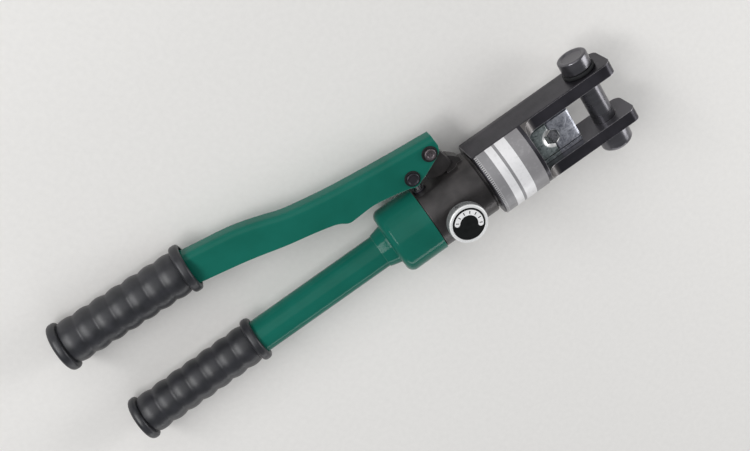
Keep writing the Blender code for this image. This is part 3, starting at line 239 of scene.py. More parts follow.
def black_casting():
    """Blackened cast steel: darker and duller than the yoke, with a fine shot-blasted pebble."""
    look, tree, shader, place = start("black_cast_steel", Metallic=0.55)
    # uneven blacking in clouds 9 mm across
    cloud = add(tree, "TexNoise", {"Scale": per_mm(9), "Detail": 5.0}, {"Vector": place})
    tone = add(
        tree, "ValToRGB", {"stops": ((0.30, "#353333"), (0.75, "#474444"))},
        {"Fac": cloud.outputs["Fac"]},
    )
    worn = edge_mask(tree, radius=0.0006, full=0.75)
    mix = add(
        tree, "Mix", {"data_type": "RGBA", 7: linear("#858182")},
        {0: worn, 6: tone.outputs["Color"]},
    )
    tree.links.new(mix.outputs[2], shader.inputs["Base Color"])
    # blast pebble 0.9 mm across, coarser than real so that it shows
    pebble = add(tree, "TexNoise", {"Scale": per_mm(0.9), "Detail": 3.0}, {"Vector": place})
    rough = add(
        tree, "MapRange", {"To Min": 0.28, "To Max": 0.42}, {"Value": pebble.outputs["Fac"]},
    )
    tree.links.new(rough.outputs["Result"], shader.inputs["Roughness"])
    bump = add(
        tree, "Bump", {"Strength": 0.16, "Distance": 0.00012}, {"Height": pebble.outputs["Fac"]},
    )
    tree.links.new(bump.outputs["Normal"], shader.inputs["Normal"])
    return look


def green_enamel():
    """Stoved green enamel on steel: deep and even, with a soft orange peel, thin along edges.

    Its skin is matt seen straight on and turns glossy at a flat angle, so the coat's index is low.
    """
    look, tree, shader, place = start(
        "green_enamel", IOR=1.5, Specular_IOR_Level=0.0, Coat_Weight=0.9, Coat_IOR=1.22,
        Coat_Roughness=0.14,
    )
    # slow drift of the sprayed colour, 30 mm across
    cloud = add(tree, "TexNoise", {"Scale": per_mm(30), "Detail": 3.0}, {"Vector": place})
    tone = add(
        tree, "ValToRGB", {"stops": ((0.30, "#155f51"), (0.72, "#1a695b"))},
        {"Fac": cloud.outputs["Fac"]},
    )
    worn = edge_mask(tree, radius=0.0006, full=0.75)
    mix = add(
        tree, "Mix", {"data_type": "RGBA", 7: linear("#6f9a8c")},
        {0: worn, 6: tone.outputs["Color"]},
    )
    tree.links.new(mix.outputs[2], shader.inputs["Base Color"])
    # orange peel 2.2 mm across
    peel = add(tree, "TexNoise", {"Scale": per_mm(2.2), "Detail": 2.0}, {"Vector": place})
    rough = add(tree, "MapRange", {"To Min": 0.26, "To Max": 0.36}, {"Value": peel.outputs["Fac"]})
    tree.links.new(rough.outputs["Result"], shader.inputs["Roughness"])
    bump = add(
        tree, "Bump", {"Strength": 0.05, "Distance": 0.0002}, {"Height": peel.outputs["Fac"]},
    )
    tree.links.new(bump.outputs["Normal"], shader.inputs["Normal"])
    return look


def grip_rubber():
    """Moulded black grip rubber: charcoal, satin where rubbed, dusty in patches, finely grained."""
    look, tree, shader, place = start("moulded_rubber", IOR=1.52)
    # dust in patches 6 mm across
    dust = add(tree, "TexNoise", {"Scale": per_mm(6), "Detail": 5.0}, {"Vector": place})
    tone = add(
        tree, "ValToRGB", {"stops": ((0.30, "#202124"), (0.75, "#2c2c31"))},
        {"Fac": dust.outputs["Fac"]},
    )
    tree.links.new(tone.outputs["Color"], shader.inputs["Base Color"])
    # skin grain 0.5 mm across, coarser than real so that it shows
    grain = add(tree, "TexNoise", {"Scale": per_mm(0.5), "Detail": 2.0}, {"Vector": place})
    rough = add(tree, "MapRange", {"To Min": 0.32, "To Max": 0.48}, {"Value": dust.outputs["Fac"]})
    tree.links.new(rough.outputs["Result"], shader.inputs["Roughness"])
    bump = add(
        tree, "Bump", {"Strength": 0.12, "Distance": 0.0001}, {"Height": grain.outputs["Fac"]},
    )
    tree.links.new(bump.outputs["Normal"], shader.inputs["Normal"])
    return look


def zinc_plate(name, dark, light, mouth):
    """Zinc-plated steel: cool grey, cloudy, streaked; painted highlight on the die's bare cut mouth.
    """
    look, tree, shader, place = start(name, Metallic=0.9)
    # crystal patches 5 mm across, drawn out into streaks, over a 1.2 mm speckle
    cloud = add(
        tree, "TexNoise", {"Scale": per_mm(5.0), "Detail": 8.0, "Distortion": 1.6},
        {"Vector": place},
    )
    speckle = add(tree, "TexNoise", {"Scale": per_mm(1.2), "Detail": 4.0}, {"Vector": place})
    blend = add(
        tree, "Mix", {"data_type": "FLOAT", 0: 0.35},
        {2: cloud.outputs["Fac"], 3: speckle.outputs["Fac"]},
    )
    tone = add(
        tree, "ValToRGB", {"stops": ((0.36, dark), (0.62, light))}, {"Fac": blend.outputs[0]},
    )
    worn = edge_mask(tree, radius=0.0006, full=0.75)
    edged = add(
        tree, "Mix", {"data_type": "RGBA", 7: linear("#e3e4e2")},
        {0: worn, 6: tone.outputs["Color"]},
    )
    # bare metal with a painted highlight: the cone round the hexagon, near the die's faces,
    # near-white
    hexagon = ORIGIN + Vector((HEX_X, 0, 0))
    reach = add(tree, "VectorMath", {"operation": "SUBTRACT", 1: hexagon}, {0: place})
    flat = add(
        tree, "VectorMath", {"operation": "MULTIPLY", 1: (1.0, 1.0, 0.0)},
        {0: reach.outputs["Vector"]},
    )
    radius = add(tree, "VectorMath", {"operation": "LENGTH"}, {0: flat.outputs["Vector"]})
    near = add(tree, "Math", {"operation": "LESS_THAN", 1: mouth}, {0: radius.outputs["Value"]})
    depth = add(tree, "SeparateXYZ", links={"Vector": reach.outputs["Vector"]})
    height = add(tree, "Math", {"operation": "ABSOLUTE"}, {0: depth.outputs["Z"]})
    top = add(
        tree, "Math", {"operation": "GREATER_THAN", 1: DIE_Z - MOUTH_DEEP},
        {0: height.outputs["Value"]},
    )
    cut = add(
        tree, "Math", {"operation": "MULTIPLY"},
        {0: near.outputs["Value"], 1: top.outputs["Value"]},
    )
    mix = add(
        tree, "Mix", {"data_type": "RGBA", 7: linear("#f4f4f2")},
        {0: cut.outputs["Value"], 6: edged.outputs[2]},
    )
    tree.links.new(mix.outputs[2], shader.inputs["Base Color"])
    rough = add(tree, "MapRange", {"To Min": 0.46, "To Max": 0.30}, {"Value": cloud.outputs["Fac"]})
    tree.links.new(rough.outputs["Result"], shader.inputs["Roughness"])
    bump = add(tree, "Bump", {"Strength": 0.22, "Distance": 0.0002}, {"Height": blend.outputs[0]})
    tree.links.new(bump.outputs["Normal"], shader.inputs["Normal"])
    return look


def turned_metal(
    name, dark, light, low, high, pitch_mm, stretch=(1.0, 0.05, 0.05), metallic=1.0, cut=0.10
):
    """Metal from a lathe or a grinder: bright, with fine lines across the way it was cut."""
    look, tree, shader, place = start(name, Metallic=metallic)
    # cutting lines, coarser than real so that they show
    laid = add(tree, "Mapping", {"Scale": stretch}, {"Vector": place})
    lines = add(
        tree, "TexNoise", {"Scale": per_mm(pitch_mm), "Detail": 3.0},
        {"Vector": laid.outputs["Vector"]},
    )
    tone = add(
        tree, "ValToRGB", {"stops": ((0.30, dark), (0.70, light))}, {"Fac": lines.outputs["Fac"]},
    )
    tree.links.new(tone.outputs["Color"], shader.inputs["Base Color"])
    rough = add(tree, "MapRange", {"To Min": low, "To Max": high}, {"Value": lines.outputs["Fac"]})
    tree.links.new(rough.outputs["Result"], shader.inputs["Roughness"])
    bump = add(
        tree, "Bump", {"Strength": cut, "Distance": 0.0001}, {"Height": lines.outputs["Fac"]},
    )
    tree.links.new(bump.outputs["Normal"], shader.inputs["Normal"])
    return look


def knob_aluminium():
    """Blasted, clear-anodised aluminium: near-white face, knurled rim painted grey as shade."""
    look, tree, shader, place = start("turned_aluminium", Metallic=0.25)
    # blast grain 0.6 mm across, coarser than real so that it shows
    blast = add(tree, "TexNoise", {"Scale": per_mm(0.6), "Detail": 3.0}, {"Vector": place})
    tone = add(
        tree, "ValToRGB", {"stops": ((0.30, "#e2e3e3"), (0.70, "#f4f4f3"))},
        {"Fac": blast.outputs["Fac"]},
    )
    # painted shade on the rim: grey from 0.4 mm below the face, fully grey at 1.4 mm
    spot = add(tree, "SeparateXYZ", links={"Vector": place})
    face = ORIGIN.z + KNOB_FACE_Z
    rim = add(
        tree, "MapRange", {"From Min": face - 0.0004, "From Max": face - 0.0014},
        {"Value": spot.outputs["Z"]},
    )
    mix = add(
        tree, "Mix", {"data_type": "RGBA", 7: linear("#808182")},
        {0: rim.outputs["Result"], 6: tone.outputs["Color"]},
    )
    tree.links.new(mix.outputs[2], shader.inputs["Base Color"])
    rough = add(tree, "MapRange", {"To Min": 0.36, "To Max": 0.52}, {"Value": blast.outputs["Fac"]})
    tree.links.new(rough.outputs["Result"], shader.inputs["Roughness"])
    bump = add(
        tree, "Bump", {"Strength": 0.10, "Distance": 0.0001}, {"Height": blast.outputs["Fac"]},
    )
    tree.links.new(bump.outputs["Normal"], shader.inputs["Normal"])
    return look


def moulded(name, dark, light, low, high, grain_mm, gloss=0.5):
    """A moulded or sintered skin: two close tones in soft patches over a fine grain."""
    look, tree, shader, place = start(name, IOR=1.5, Specular_IOR_Level=gloss)
    patch = add(tree, "TexNoise", {"Scale": per_mm(8 * grain_mm), "Detail": 4.0}, {"Vector": place})
    tone = add(
        tree, "ValToRGB", {"stops": ((0.32, dark), (0.70, light))}, {"Fac": patch.outputs["Fac"]},
    )
    tree.links.new(tone.outputs["Color"], shader.inputs["Base Color"])
    # skin grain, coarser than real so that it shows
    grain = add(tree, "TexNoise", {"Scale": per_mm(grain_mm), "Detail": 2.0}, {"Vector": place})
    rough = add(tree, "MapRange", {"To Min": low, "To Max": high}, {"Value": grain.outputs["Fac"]})
    tree.links.new(rough.outputs["Result"], shader.inputs["Roughness"])
    bump = add(
        tree, "Bump", {"Strength": 0.12, "Distance": 0.0001}, {"Height": grain.outputs["Fac"]},
    )
    tree.links.new(bump.outputs["Normal"], shader.inputs["Normal"])
    return look


def printed_foil():
    """Printed aluminium foil: white and grey bands, a dotted edge, slight creases and scuffs."""
    look, tree, shader, place = start("printed_foil", Metallic=0.15)
    along = add(tree, "SeparateXYZ", links={"Vector": place})
    low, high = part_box("rating_plate")
    share = add(
        tree, "MapRange", {"From Min": low[0], "From Max": high[0]}, {"Value": along.outputs["X"]},
    )
    # where each band starts along the plate, as a share of its length
    stops = (
        (0.0, "#b9b8b9"), (0.055, "#8a898b"), (0.25, "#e6e5e6"), (0.41, "#8d8c8e"),
        (0.465, "#e8e7e8"), (0.70, "#8a888a"),
    )
    bands = add(tree, "ValToRGB", {"stops": stops}, {"Fac": share.outputs["Result"]})
    bands.color_ramp.interpolation = "CONSTANT"
    # a row of printed dots 1.6 mm apart round the rear edge
    dot_pitch = 0.0016
    height = add(tree, "Math", {"operation": "SUBTRACT", 1: ORIGIN.z}, {0: along.outputs["Z"]})
    across = add(tree, "Math", {"operation": "SUBTRACT", 1: ORIGIN.y}, {0: along.outputs["Y"]})
    angle = add(
        tree, "Math", {"operation": "ARCTAN2"},
        {0: height.outputs["Value"], 1: across.outputs["Value"]},
    )
    pitch = add(
        tree, "Math", {"operation": "MULTIPLY", 1: PLATE_R / dot_pitch},
        {0: angle.outputs["Value"]},
    )
    dots = add(tree, "Math", {"operation": "FRACT"}, {0: pitch.outputs["Value"]})
    dot = add(tree, "Math", {"operation": "GREATER_THAN", 1: 0.5}, {0: dots.outputs["Value"]})
    rear = add(tree, "Math", {"operation": "LESS_THAN", 1: 0.05}, {0: share.outputs["Result"]})
    row = add(
        tree, "Math", {"operation": "MULTIPLY"},
        {0: dot.outputs["Value"], 1: rear.outputs["Value"]},
    )
    printed = add(
        tree, "Mix", {"data_type": "RGBA", 7: linear("#4a494c")},
        {0: row.outputs["Value"], 6: bands.outputs["Color"]},
    )
    # scuffs 3 mm across that grey the print
    scuff = add(tree, "TexNoise", {"Scale": per_mm(3), "Detail": 6.0}, {"Vector": place})
    mask = add(
        tree, "MapRange", {"From Min": 0.52, "From Max": 0.80, "To Max": 0.35},
        {"Value": scuff.outputs["Fac"]},
    )
    mix = add(
        tree, "Mix", {"data_type": "RGBA", 7: linear("#b5b3b4")},
        {0: mask.outputs["Result"], 6: printed.outputs[2]},
    )
    tree.links.new(mix.outputs[2], shader.inputs["Base Color"])
    rough = add(tree, "MapRange", {"To Min": 0.34, "To Max": 0.50}, {"Value": scuff.outputs["Fac"]})
    tree.links.new(rough.outputs["Result"], shader.inputs["Roughness"])
    # creases 7 mm across
    crease = add(tree, "TexNoise", {"Scale": per_mm(7), "Detail": 2.0}, {"Vector": place})
    bump = add(
        tree, "Bump", {"Strength": 0.12, "Distance": 0.0004}, {"Height": crease.outputs["Fac"]},
    )
    tree.links.new(bump.outputs["Normal"], shader.inputs["Normal"])
    return look


LOOKS = {
    "black_oxide_steel": black_oxide(),
    "black_cast_steel": black_casting(),
    "green_paint": green_enamel(),
    "black_rubber": grip_rubber(),
    "zinc_plated_steel": zinc_plate("zinc_plated_steel", "#656e6e", "#b3bdbc", MOUTH_R),
    # the upper die's plating is newer: paler, with a blue cast
    "blue_zinc_steel": zinc_plate("blue_zinc_steel", "#70727c", "#bfc1c9", UPPER_MOUTH_R),
    # ground steel: bright rods, balls and dowels with fine grinding lines
    "ground_steel": turned_metal(
        "ground_steel", "#b4b6b8", "#d2d4d5", low=0.18, high=0.32, pitch_mm=0.5,
    ),
    # drawn spring wire: greyer, with an oily sheen
    "spring_steel": turned_metal(
        "spring_steel", "#7d8085", "#989ba0", low=0.30, high=0.42, pitch_mm=0.6,
    ),
    "knurled_aluminium": knob_aluminium(),
    # moulded disc in the knob: black with a satin sheen
    "black_plastic": moulded(
        "satin_black_face", "#0e1010", "#171919", low=0.42, high=0.56, grain_mm=0.5, gloss=0.15,
    ),
    # nitrile seal rings: dull black
    "seal_rubber": moulded(
        "nitrile_rubber", "#161718", "#212224", low=0.62, high=0.78, grain_mm=0.5, gloss=0.3,
    ),
    # moulded bladder rubber: dull brown
    "bladder_rubber": moulded(
        "bladder_rubber", "#443529", "#544234", low=0.58, high=0.74, grain_mm=0.8,
    ),
    # sintered bronze strainer: coarse warm grains
    "sintered_bronze": moulded(
        "sintered_bronze", "#8d6a3b", "#b58c54", low=0.48, high=0.70, grain_mm=0.6,
    ),
    "label_foil": printed_foil(),
    # latch pin and keeper: polished before blacking, so that they mirror the room in streaks
    "polished_black_steel": turned_metal(
        "polished_black_steel", "#67666a", "#717074", low=0.25, high=0.31, pitch_mm=2.5,
        stretch=(0.05, 1.0, 0.05), metallic=0.9, cut=0.01,
    ),
    # bolt heads: blacking rubbed through to warm grey steel
    "rubbed_bolt_steel": turned_metal(
        "rubbed_bolt_steel", "#4d484a", "#7b7276", low=0.34, high=0.50, pitch_mm=0.8,
        stretch=(1.0, 1.0, 0.3), metallic=0.8,
    ),
    # screen-printed white ink on the knob face
    "white_ink": moulded(
        "white_ink", "#dfdfdf", "#efefef", low=0.44, high=0.60, grain_mm=0.5,
    ),
}


# ---------------------------------------------------------------- shapes


def solid(name, bm):
    """Closes a bmesh into an object whose faces point out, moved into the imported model's frame."""
    bmesh.ops.recalc_face_normals(bm, faces=bm.faces)
    mesh = bpy.data.meshes.new(name)
    bm.to_mesh(mesh)
    bm.free()
    mesh.transform(Matrix.Translation(ORIGIN))
    obj = bpy.data.objects.new(name, mesh)
    bpy.context.collection.objects.link(obj)
    return obj


def eased(points, steps=4):
    """A closed outline of (u, v) points; a third value rounds over that length of each side."""
    curve = []
    for i, point in enumerate(points):
        here = Vector(point[:2])
        reach = point[2] if len(point) > 2 else 0
        if not reach:
            curve.append(tuple(here))
            continue
        before = Vector(points[i - 1][:2]) - here
        after = Vector(points[(i + 1) % len(points)][:2]) - here
        a, b = here + before.normalized() * reach, here + after.normalized() * reach
        for s in range(steps + 1):
            t = s / steps
            curve.append(tuple(a * (1 - t) ** 2 + here * 2 * t * (1 - t) + b * t * t))
    return curve


def turned(name, outline, axis="X", at=(0, 0, 0), facets=FACETS, flute=None, turn=0.0):
    """Turns a closed outline of (station, radius) about an axis; flute cuts into the radius."""
    bm = bmesh.new()
    lay = Matrix.Translation(at) @ LAY[axis]
    angles = [turn + math.tau * i / facets for i in range(facets)]
    rings = []
    for h, r in outline:
        if r < 1e-7:
            rings.append([bm.verts.new(lay @ Vector((0, 0, h)))] * facets)
            continue
        ring = []
        for a in angles:
            reach = r - (flute(h, a) if flute else 0)
            ring.append(bm.verts.new(lay @ Vector((reach * math.cos(a), reach * math.sin(a), h))))
        rings.append(ring)
    for k, ring in enumerate(rings):
        after = rings[(k + 1) % len(rings)]
        for i in range(facets):
            j = (i + 1) % facets
            corners = list(dict.fromkeys((ring[i], ring[j], after[j], after[i])))
            if len(corners) > 2:
                bm.faces.new(corners)
    return solid(name, bm)


def extruded(name, outline, axis, low, high, at=(0, 0, 0)):
    """Extrudes a closed outline along an axis: XY outlines along Z, ZX along Y and YZ along X."""
    bm = bmesh.new()
    lay = Matrix.Translation(at) @ LAY[axis]
    ends = [[bm.verts.new(lay @ Vector((u, v, h))) for u, v in outline] for h in (low, high)]
    count = len(outline)
    bm.faces.new(ends[0][::-1])
    bm.faces.new(ends[1])
    for i in range(count):
        j = (i + 1) % count
        bm.faces.new((ends[0][i], ends[0][j], ends[1][j], ends[1][i]))
    return solid(name, bm)


def block(name, low, high):
    """A block between two corners, for cutting."""
    outline = [(low[0], low[1]), (high[0], low[1]), (high[0], high[1]), (low[0], high[1])]
    return extruded(name, outline, "Z", low[2], high[2])


def rod(name, radius, low, high, axis, at, facets=FACETS):
    """A plain rod between two stations, for cutting."""
    return turned(name, [(low, 0), (low, radius), (high, radius), (high, 0)], axis, at, facets)


def arc(centre, radius, start_deg, end_deg, count):
    """Points on a circle from one angle to another, in degrees."""
    angles = [math.radians(start_deg + (end_deg - start_deg) * i / count) for i in range(count + 1)]
    return [(centre[0] + radius * math.cos(a), centre[1] + radius * math.sin(a)) for a in angles]


def smooth(points, steps):
    """A Catmull-Rom curve through points."""
    curve = []
    last = len(points) - 1
    for i in range(last):
        p = [Vector(points[min(max(i + k, 0), last)]) for k in (-1, 0, 1, 2)]
        for s in range(steps):
            t = s / steps
            curve.append(tuple(0.5 * (
                2 * p[1] + (p[2] - p[0]) * t + (2 * p[0] - 5 * p[1] + 4 * p[2] - p[3]) * t * t
                + (3 * p[1] - p[0] - 3 * p[2] + p[3]) * t ** 3
            )))
    curve.append(tuple(points[last]))
    return curve


def combine(target, operation, *tools):
    """Applies exact Booleans in turn, removes the tools and welds what the cuts left too close."""
    for tool in tools:
        step = target.modifiers.new(operation, "BOOLEAN")
        step.operation = operation
        step.solver = "EXACT"
        step.object = tool
        result = target.evaluated_get(bpy.context.evaluated_depsgraph_get())
        mesh = bpy.data.meshes.new_from_object(result)
        target.modifiers.remove(step)
        target.data = mesh
        bpy.data.objects.remove(tool, do_unlink=True)
    bm = bmesh.new()
    bm.from_mesh(target.data)
    bmesh.ops.remove_doubles(bm, verts=bm.verts, dist=WELD)
    bmesh.ops.dissolve_degenerate(bm, edges=bm.edges, dist=WELD)
    bm.to_mesh(target.data)
    bm.free()
    return target


def ease_edges(piece, width, angle=30.0):
    """Rounds a piece's sharp edges so that they catch the light."""
    bevel = piece.modifiers.new("eased_edges", "BEVEL")
    bevel.width = width
    bevel.segments = 3
    bevel.limit_method = "ANGLE"
    bevel.angle_limit = math.radians(angle)
    bevel.miter_outer = "MITER_ARC"


def dress(piece, body, finish, *nodes, edge=0.0, angle=35.0, slot=None):
    """Gives a piece its material and shading, its body and the CAD nodes it replaces; slot is not
    used.
    """
    piece.data.materials.clear()
    piece.data.materials.append(LOOKS[finish])
    piece.data.shade_smooth()
    piece.data.set_sharp_from_angle(angle=math.radians(angle))
    if edge:
        ease_edges(piece, edge)
    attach(piece, body)
    if nodes:
        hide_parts(*nodes)
    return piece


# yoke: a round bar with two flats, slotted, its arms milled to width with a rounded run-out
yoke = turned("yoke_forging", eased([
    (YOKE_X, 0), (YOKE_X, YOKE_R, 0.0014), (ARM_END_X, YOKE_R, 0.0014), (ARM_END_X, 0),
]), facets=128)
flats = block("flats", (0, -YOKE_FLAT_Y, -OUTSIDE), (AHEAD, YOKE_FLAT_Y, OUTSIDE))
combine(yoke, "INTERSECT", flats)
slot = block("slot", (BASE_FRONT_X, -ARM_INNER_Y, -OUTSIDE), (AHEAD, ARM_INNER_Y, OUTSIDE))
combine(yoke, "DIFFERENCE", slot)
for side in (1, -1):
    run = arc((ARM_HALF_W + RUNOUT_R, BASE_FRONT_X + RUNOUT_R), RUNOUT_R, 270, 180, 20)
    nose = arc((ARM_HALF_W - NOSE_R, ARM_END_X - NOSE_R), NOSE_R, 0, 90, 14)
    milled = [(OUTSIDE, BASE_FRONT_X)] + run + nose
    milled += [(ARM_HALF_W - NOSE_R, AHEAD), (OUTSIDE, AHEAD)]
    milled = [(side * z, x) for z, x in milled]
    combine(yoke, "DIFFERENCE", extruded("arm_side", milled, "Y", -OUTSIDE, OUTSIDE))
combine(
    yoke, "DIFFERENCE",
    turned("cylinder", [
        (0, 0), (0, BORE_R), (BORE_END_X, BORE_R), (BORE_END_X, ROD_HOLE_R),
        (ROD_HOLE_END_X, ROD_HOLE_R), (ROD_HOLE_END_X, 0),
    ]),
    turned("pin_hole", [
        (-OUTSIDE, 0), (-OUTSIDE, KEEPER_HOLE_R), (-KEEPER_SEAT_Y, KEEPER_HOLE_R),
        (-KEEPER_SEAT_Y, PIN_R + CLEAR), (OUTSIDE, PIN_R + CLEAR), (OUTSIDE, 0),
    ], "Y", (PIN_X, 0, 0)),
)
dress(yoke, "frame", "black_oxide_steel", "yoke", edge=0.0015)

# rating plate: a foil wrapped round the base between the flats
outer = arc((0, 0), PLATE_R, PLATE_FROM_DEG, PLATE_TO_DEG, 72)
inner = arc((0, 0), PLATE_R - PLATE_T, PLATE_TO_DEG, PLATE_FROM_DEG, 72)
plate = extruded("rating_foil", outer + inner, "X", PLATE_LOW_X, PLATE_HIGH_X)
dress(plate, "frame", "label_foil", "rating_plate")

# latch pin with its knob-like head and a black ring under it as painted shade, and the keeper in the
# lower arm
pin = turned("latch_pin_turned", eased([
    (-0.0371, 0), (-0.0371, PIN_R, 0.0010), (0.0289, PIN_R), (0.0289, 0.0113, 0.0005),
    (0.0391, 0.0113, 0.0014), (0.0391, 0.0088, 0.0005), (0.0380, 0.0076, 0.0005), (0.0380, 0),
]), "Y", (PIN_X, 0, 0))
combine(pin, "DIFFERENCE", rod("detent_bore", 0.0023, -0.0036, 0.02, "X", (PIN_X, -0.0321, 0), 32))
dress(pin, "latch", "polished_black_steel", "latch_pin", slot="black_oxide_steel")
dress(turned("pin_shade_ring", eased([
    (0.0258, 0.0088), (0.0258, 0.0123, 0.0009), (0.0286, 0.0123, 0.0009), (0.0286, 0.0088),
]), "Y", (PIN_X, 0, 0)), "latch", "seal_rubber", "pin_ring")
dress(turned("pin_keeper_turned", eased([
    (-0.0404, 0), (-0.0404, 0.0092, 0.0014), (-0.0379, 0.0120, 0.0014), (-0.0258, 0.0120, 0.0006),
    (-0.0258, 0.0102), (-0.0228, 0.0102), (-0.0228, PIN_R + CLEAR), (-0.0374, PIN_R + CLEAR),
    (-0.0374, 0),
]), "Y", (PIN_X, 0, 0)), "frame", "polished_black_steel", "pin_keeper", slot="black_oxide_steel")

# pump body: turned bar with a flat for the plunger and a lug for the lever
FULCRUM, LINK = (0.0050, 0.0444), (-0.0145, 0.0364)
FULCRUM_EYE_R, LINK_EYE_R = 0.0045, 0.0038
BODY_R, PUMP_FLAT_Y, PLUNGER_X = 0.0248, 0.0222, -0.01433
LUG_R, LUG_HALF_Z, STEM_HALF_Z, LUG_EDGE = 0.0065, 0.0062, 0.0046, 0.0008
pump = turned("pump_casting", eased([
    (-0.0450, 0), (-0.0450, 0.0070), (-0.0360, 0.0070), (-0.0360, 0.0214), (-0.02734, 0.0214),
    (-0.02734, 0.0196), (-0.02494, 0.0196), (-0.02494, 0.0214), (-0.0202, 0.0214),
    (-0.0202, BODY_R, 0.0006), (0.0254, BODY_R, 0.0010), (0.0254, 0.0222, 0.0003), (0.0270, 0.0222),
    (0.0270, 0.0187), (0.02795, 0.0187), (0.02795, 0.0169), (0.03035, 0.0169), (0.03035, 0.0187),
    (0.0313, 0.0187), (0.0313, 0),
]))
flat = [(-0.0208, PUMP_FLAT_Y)] + arc((0.0135, PUMP_FLAT_Y + 0.0055), 0.0055, 270, 360, 12)
flat += [(0.0190, PAST_BODY), (-0.0208, PAST_BODY)]
combine(pump, "DIFFERENCE", extruded("pump_flat", flat, "Z", -PAST_BODY, PAST_BODY))
lug = [(0.0090, 0.0165), (0.0220, 0.0165), (0.0220, 0.0273, 0.0014), (0.0144, 0.0350, 0.0030)]
crown = arc(FULCRUM, LUG_R, 10, 180, 28)
lug = eased(lug, 6) + crown + [(FULCRUM[0] - LUG_R, 0.0300), (0.0090, 0.0265)]
combine(pump, "UNION", extruded("stem", lug, "Z", -STEM_HALF_Z, STEM_HALF_Z))
foot = [(-0.0044, 0.0330), (-0.0051, 0.0300)] + arc(FULCRUM, 0.0200, 240, 300, 20)
boss = crown + foot + [(0.0152, 0.0300), (0.0144, 0.0350)]
boss = extruded("lobe", boss, "Z", -LUG_HALF_Z, LUG_HALF_Z)
bm = bmesh.new()
bm.from_mesh(boss.data)
rims = [edge for edge in bm.edges if abs(edge.verts[0].co.z - edge.verts[1].co.z) < 1e-6]
bmesh.ops.bevel(
    bm, geom=rims, offset=LUG_EDGE, segments=3, profile=0.5, affect="EDGES", clamp_overlap=True,
)
bm.to_mesh(boss.data)
bm.free()
combine(pump, "UNION", boss)
combine(
    pump, "DIFFERENCE",
    rod("fulcrum_hole", FULCRUM_EYE_R, -THROUGH, THROUGH, "Z", (*FULCRUM, 0), 48),
    turned("plunger_bore", [
        (-0.0178, 0), (-0.0178, 0.0038), (0.0120, 0.0038), (0.0120, 0.0054), (PAST_BODY, 0.0054),
        (PAST_BODY, 0),
    ], "Y", (PLUNGER_X, 0, 0), 48),
    turned("valve_bore", [
        (0.0042, 0), (0.0042, 0.0033), (0.0143, 0.0033), (0.0143, 0.0053), (0.0236, 0.0053),
        (0.0236, 0.0081), (PAST_BODY, 0.0081), (PAST_BODY, 0),
    ], "Z", (KNOB_X, 0, 0), 48),
    rod("relief_bore", 0.0031, -PAST_BODY, -0.0083, "Z", (0.0110, 0, 0), 32),
    turned("outlet_bore", [
        (PLUNGER_X, 0), (PLUNGER_X, 0.0012), (0.00767, 0.0012), (0.00767, 0.0031),
        (PAST_BODY, 0.0031), (PAST_BODY, 0),
    ], "X", (0, -0.0090, 0), 32),
    turned("inlet_bore", [
        (-OUTSIDE, 0), (-OUTSIDE, 0.0031), (-0.0208, 0.0031), (-0.0208, 0.0012),
        (PLUNGER_X, 0.0012), (PLUNGER_X, 0),
    ], "X", (0, -0.0030, 0), 32),
)
dress(pump, "frame", "black_cast_steel", "pump_body", edge=0.0004)

# reservoir cup with a rounded back and a neck, and the handle tube
CUP_R, CUP_ROUND = 0.0258, 0.0060
cup = eased([
    (-0.0205, CUP_R, 0.0006), (-0.0205, 0.0217, 0.0005), (-0.0420, 0.0217), (-0.0420, 0.0112),
    (-0.0460, 0.0112), (-0.0460, 0.0130), (-0.0622, 0.0130), (-0.0622, 0.0133),
    (-0.0576, 0.0146, 0.0040), (-0.0545, 0.0152, 0.0010),
]) + [(-0.0533, 0.0168), (-0.0533, 0.0184)]
cup += arc((-0.0473, CUP_R - CUP_ROUND), CUP_ROUND, 180, 90, 16)
dress(turned("oil_cup", cup), "frame", "green_paint", "reservoir_cup")
dress(turned("handle_pipe", eased([
    (-0.0463, 0.0127), (-0.0463, 0.0112), (-0.2683, 0.0112), (-0.2683, 0.0127),
])), "frame", "green_paint", "handle_tube")


def grip(name, length, crest, valley, bead, front_bead, end_bead, bore, end_wall, mouth=()):
    """A ribbed rubber grip from its mouth, at station 0, to its closed end, with a bead at both.

    crest, valley, bead and bore are radii, and mouth is the depth and radius of a wider mouth.
    """
    ribs, steps = 7, 14
    behind, drawn_in = 0.0004, 0.0001  # keep the ribs off both beads
    pitch = (length - front_bead - end_bead) / ribs
    lip = mouth[1] if mouth else bore
    outline = [(end_wall - length, 0), (end_wall - length, bore)]
    if mouth:
        outline += [(-mouth[0], bore), (-mouth[0], lip)]
    outline += [(0, lip, 0.0003), (0, bead, 0.0028), (-front_bead, bead, 0.0024)]
    for rib in range(ribs):
        for s in range(steps + (rib == ribs - 1)):
            u = s / steps
            swell = max(math.sin(math.pi * u), 0.0) ** 0.95  # a little fuller than a sine
            station = -front_bead - behind - (rib + u) * (pitch - drawn_in)
            outline.append((station, valley + (crest - valley) * swell))
    outline += [(end_bead - length, bead, 0.0022), (-length, bead, 0.0038), (-length, 0)]
    return turned(name, eased(outline, 8))


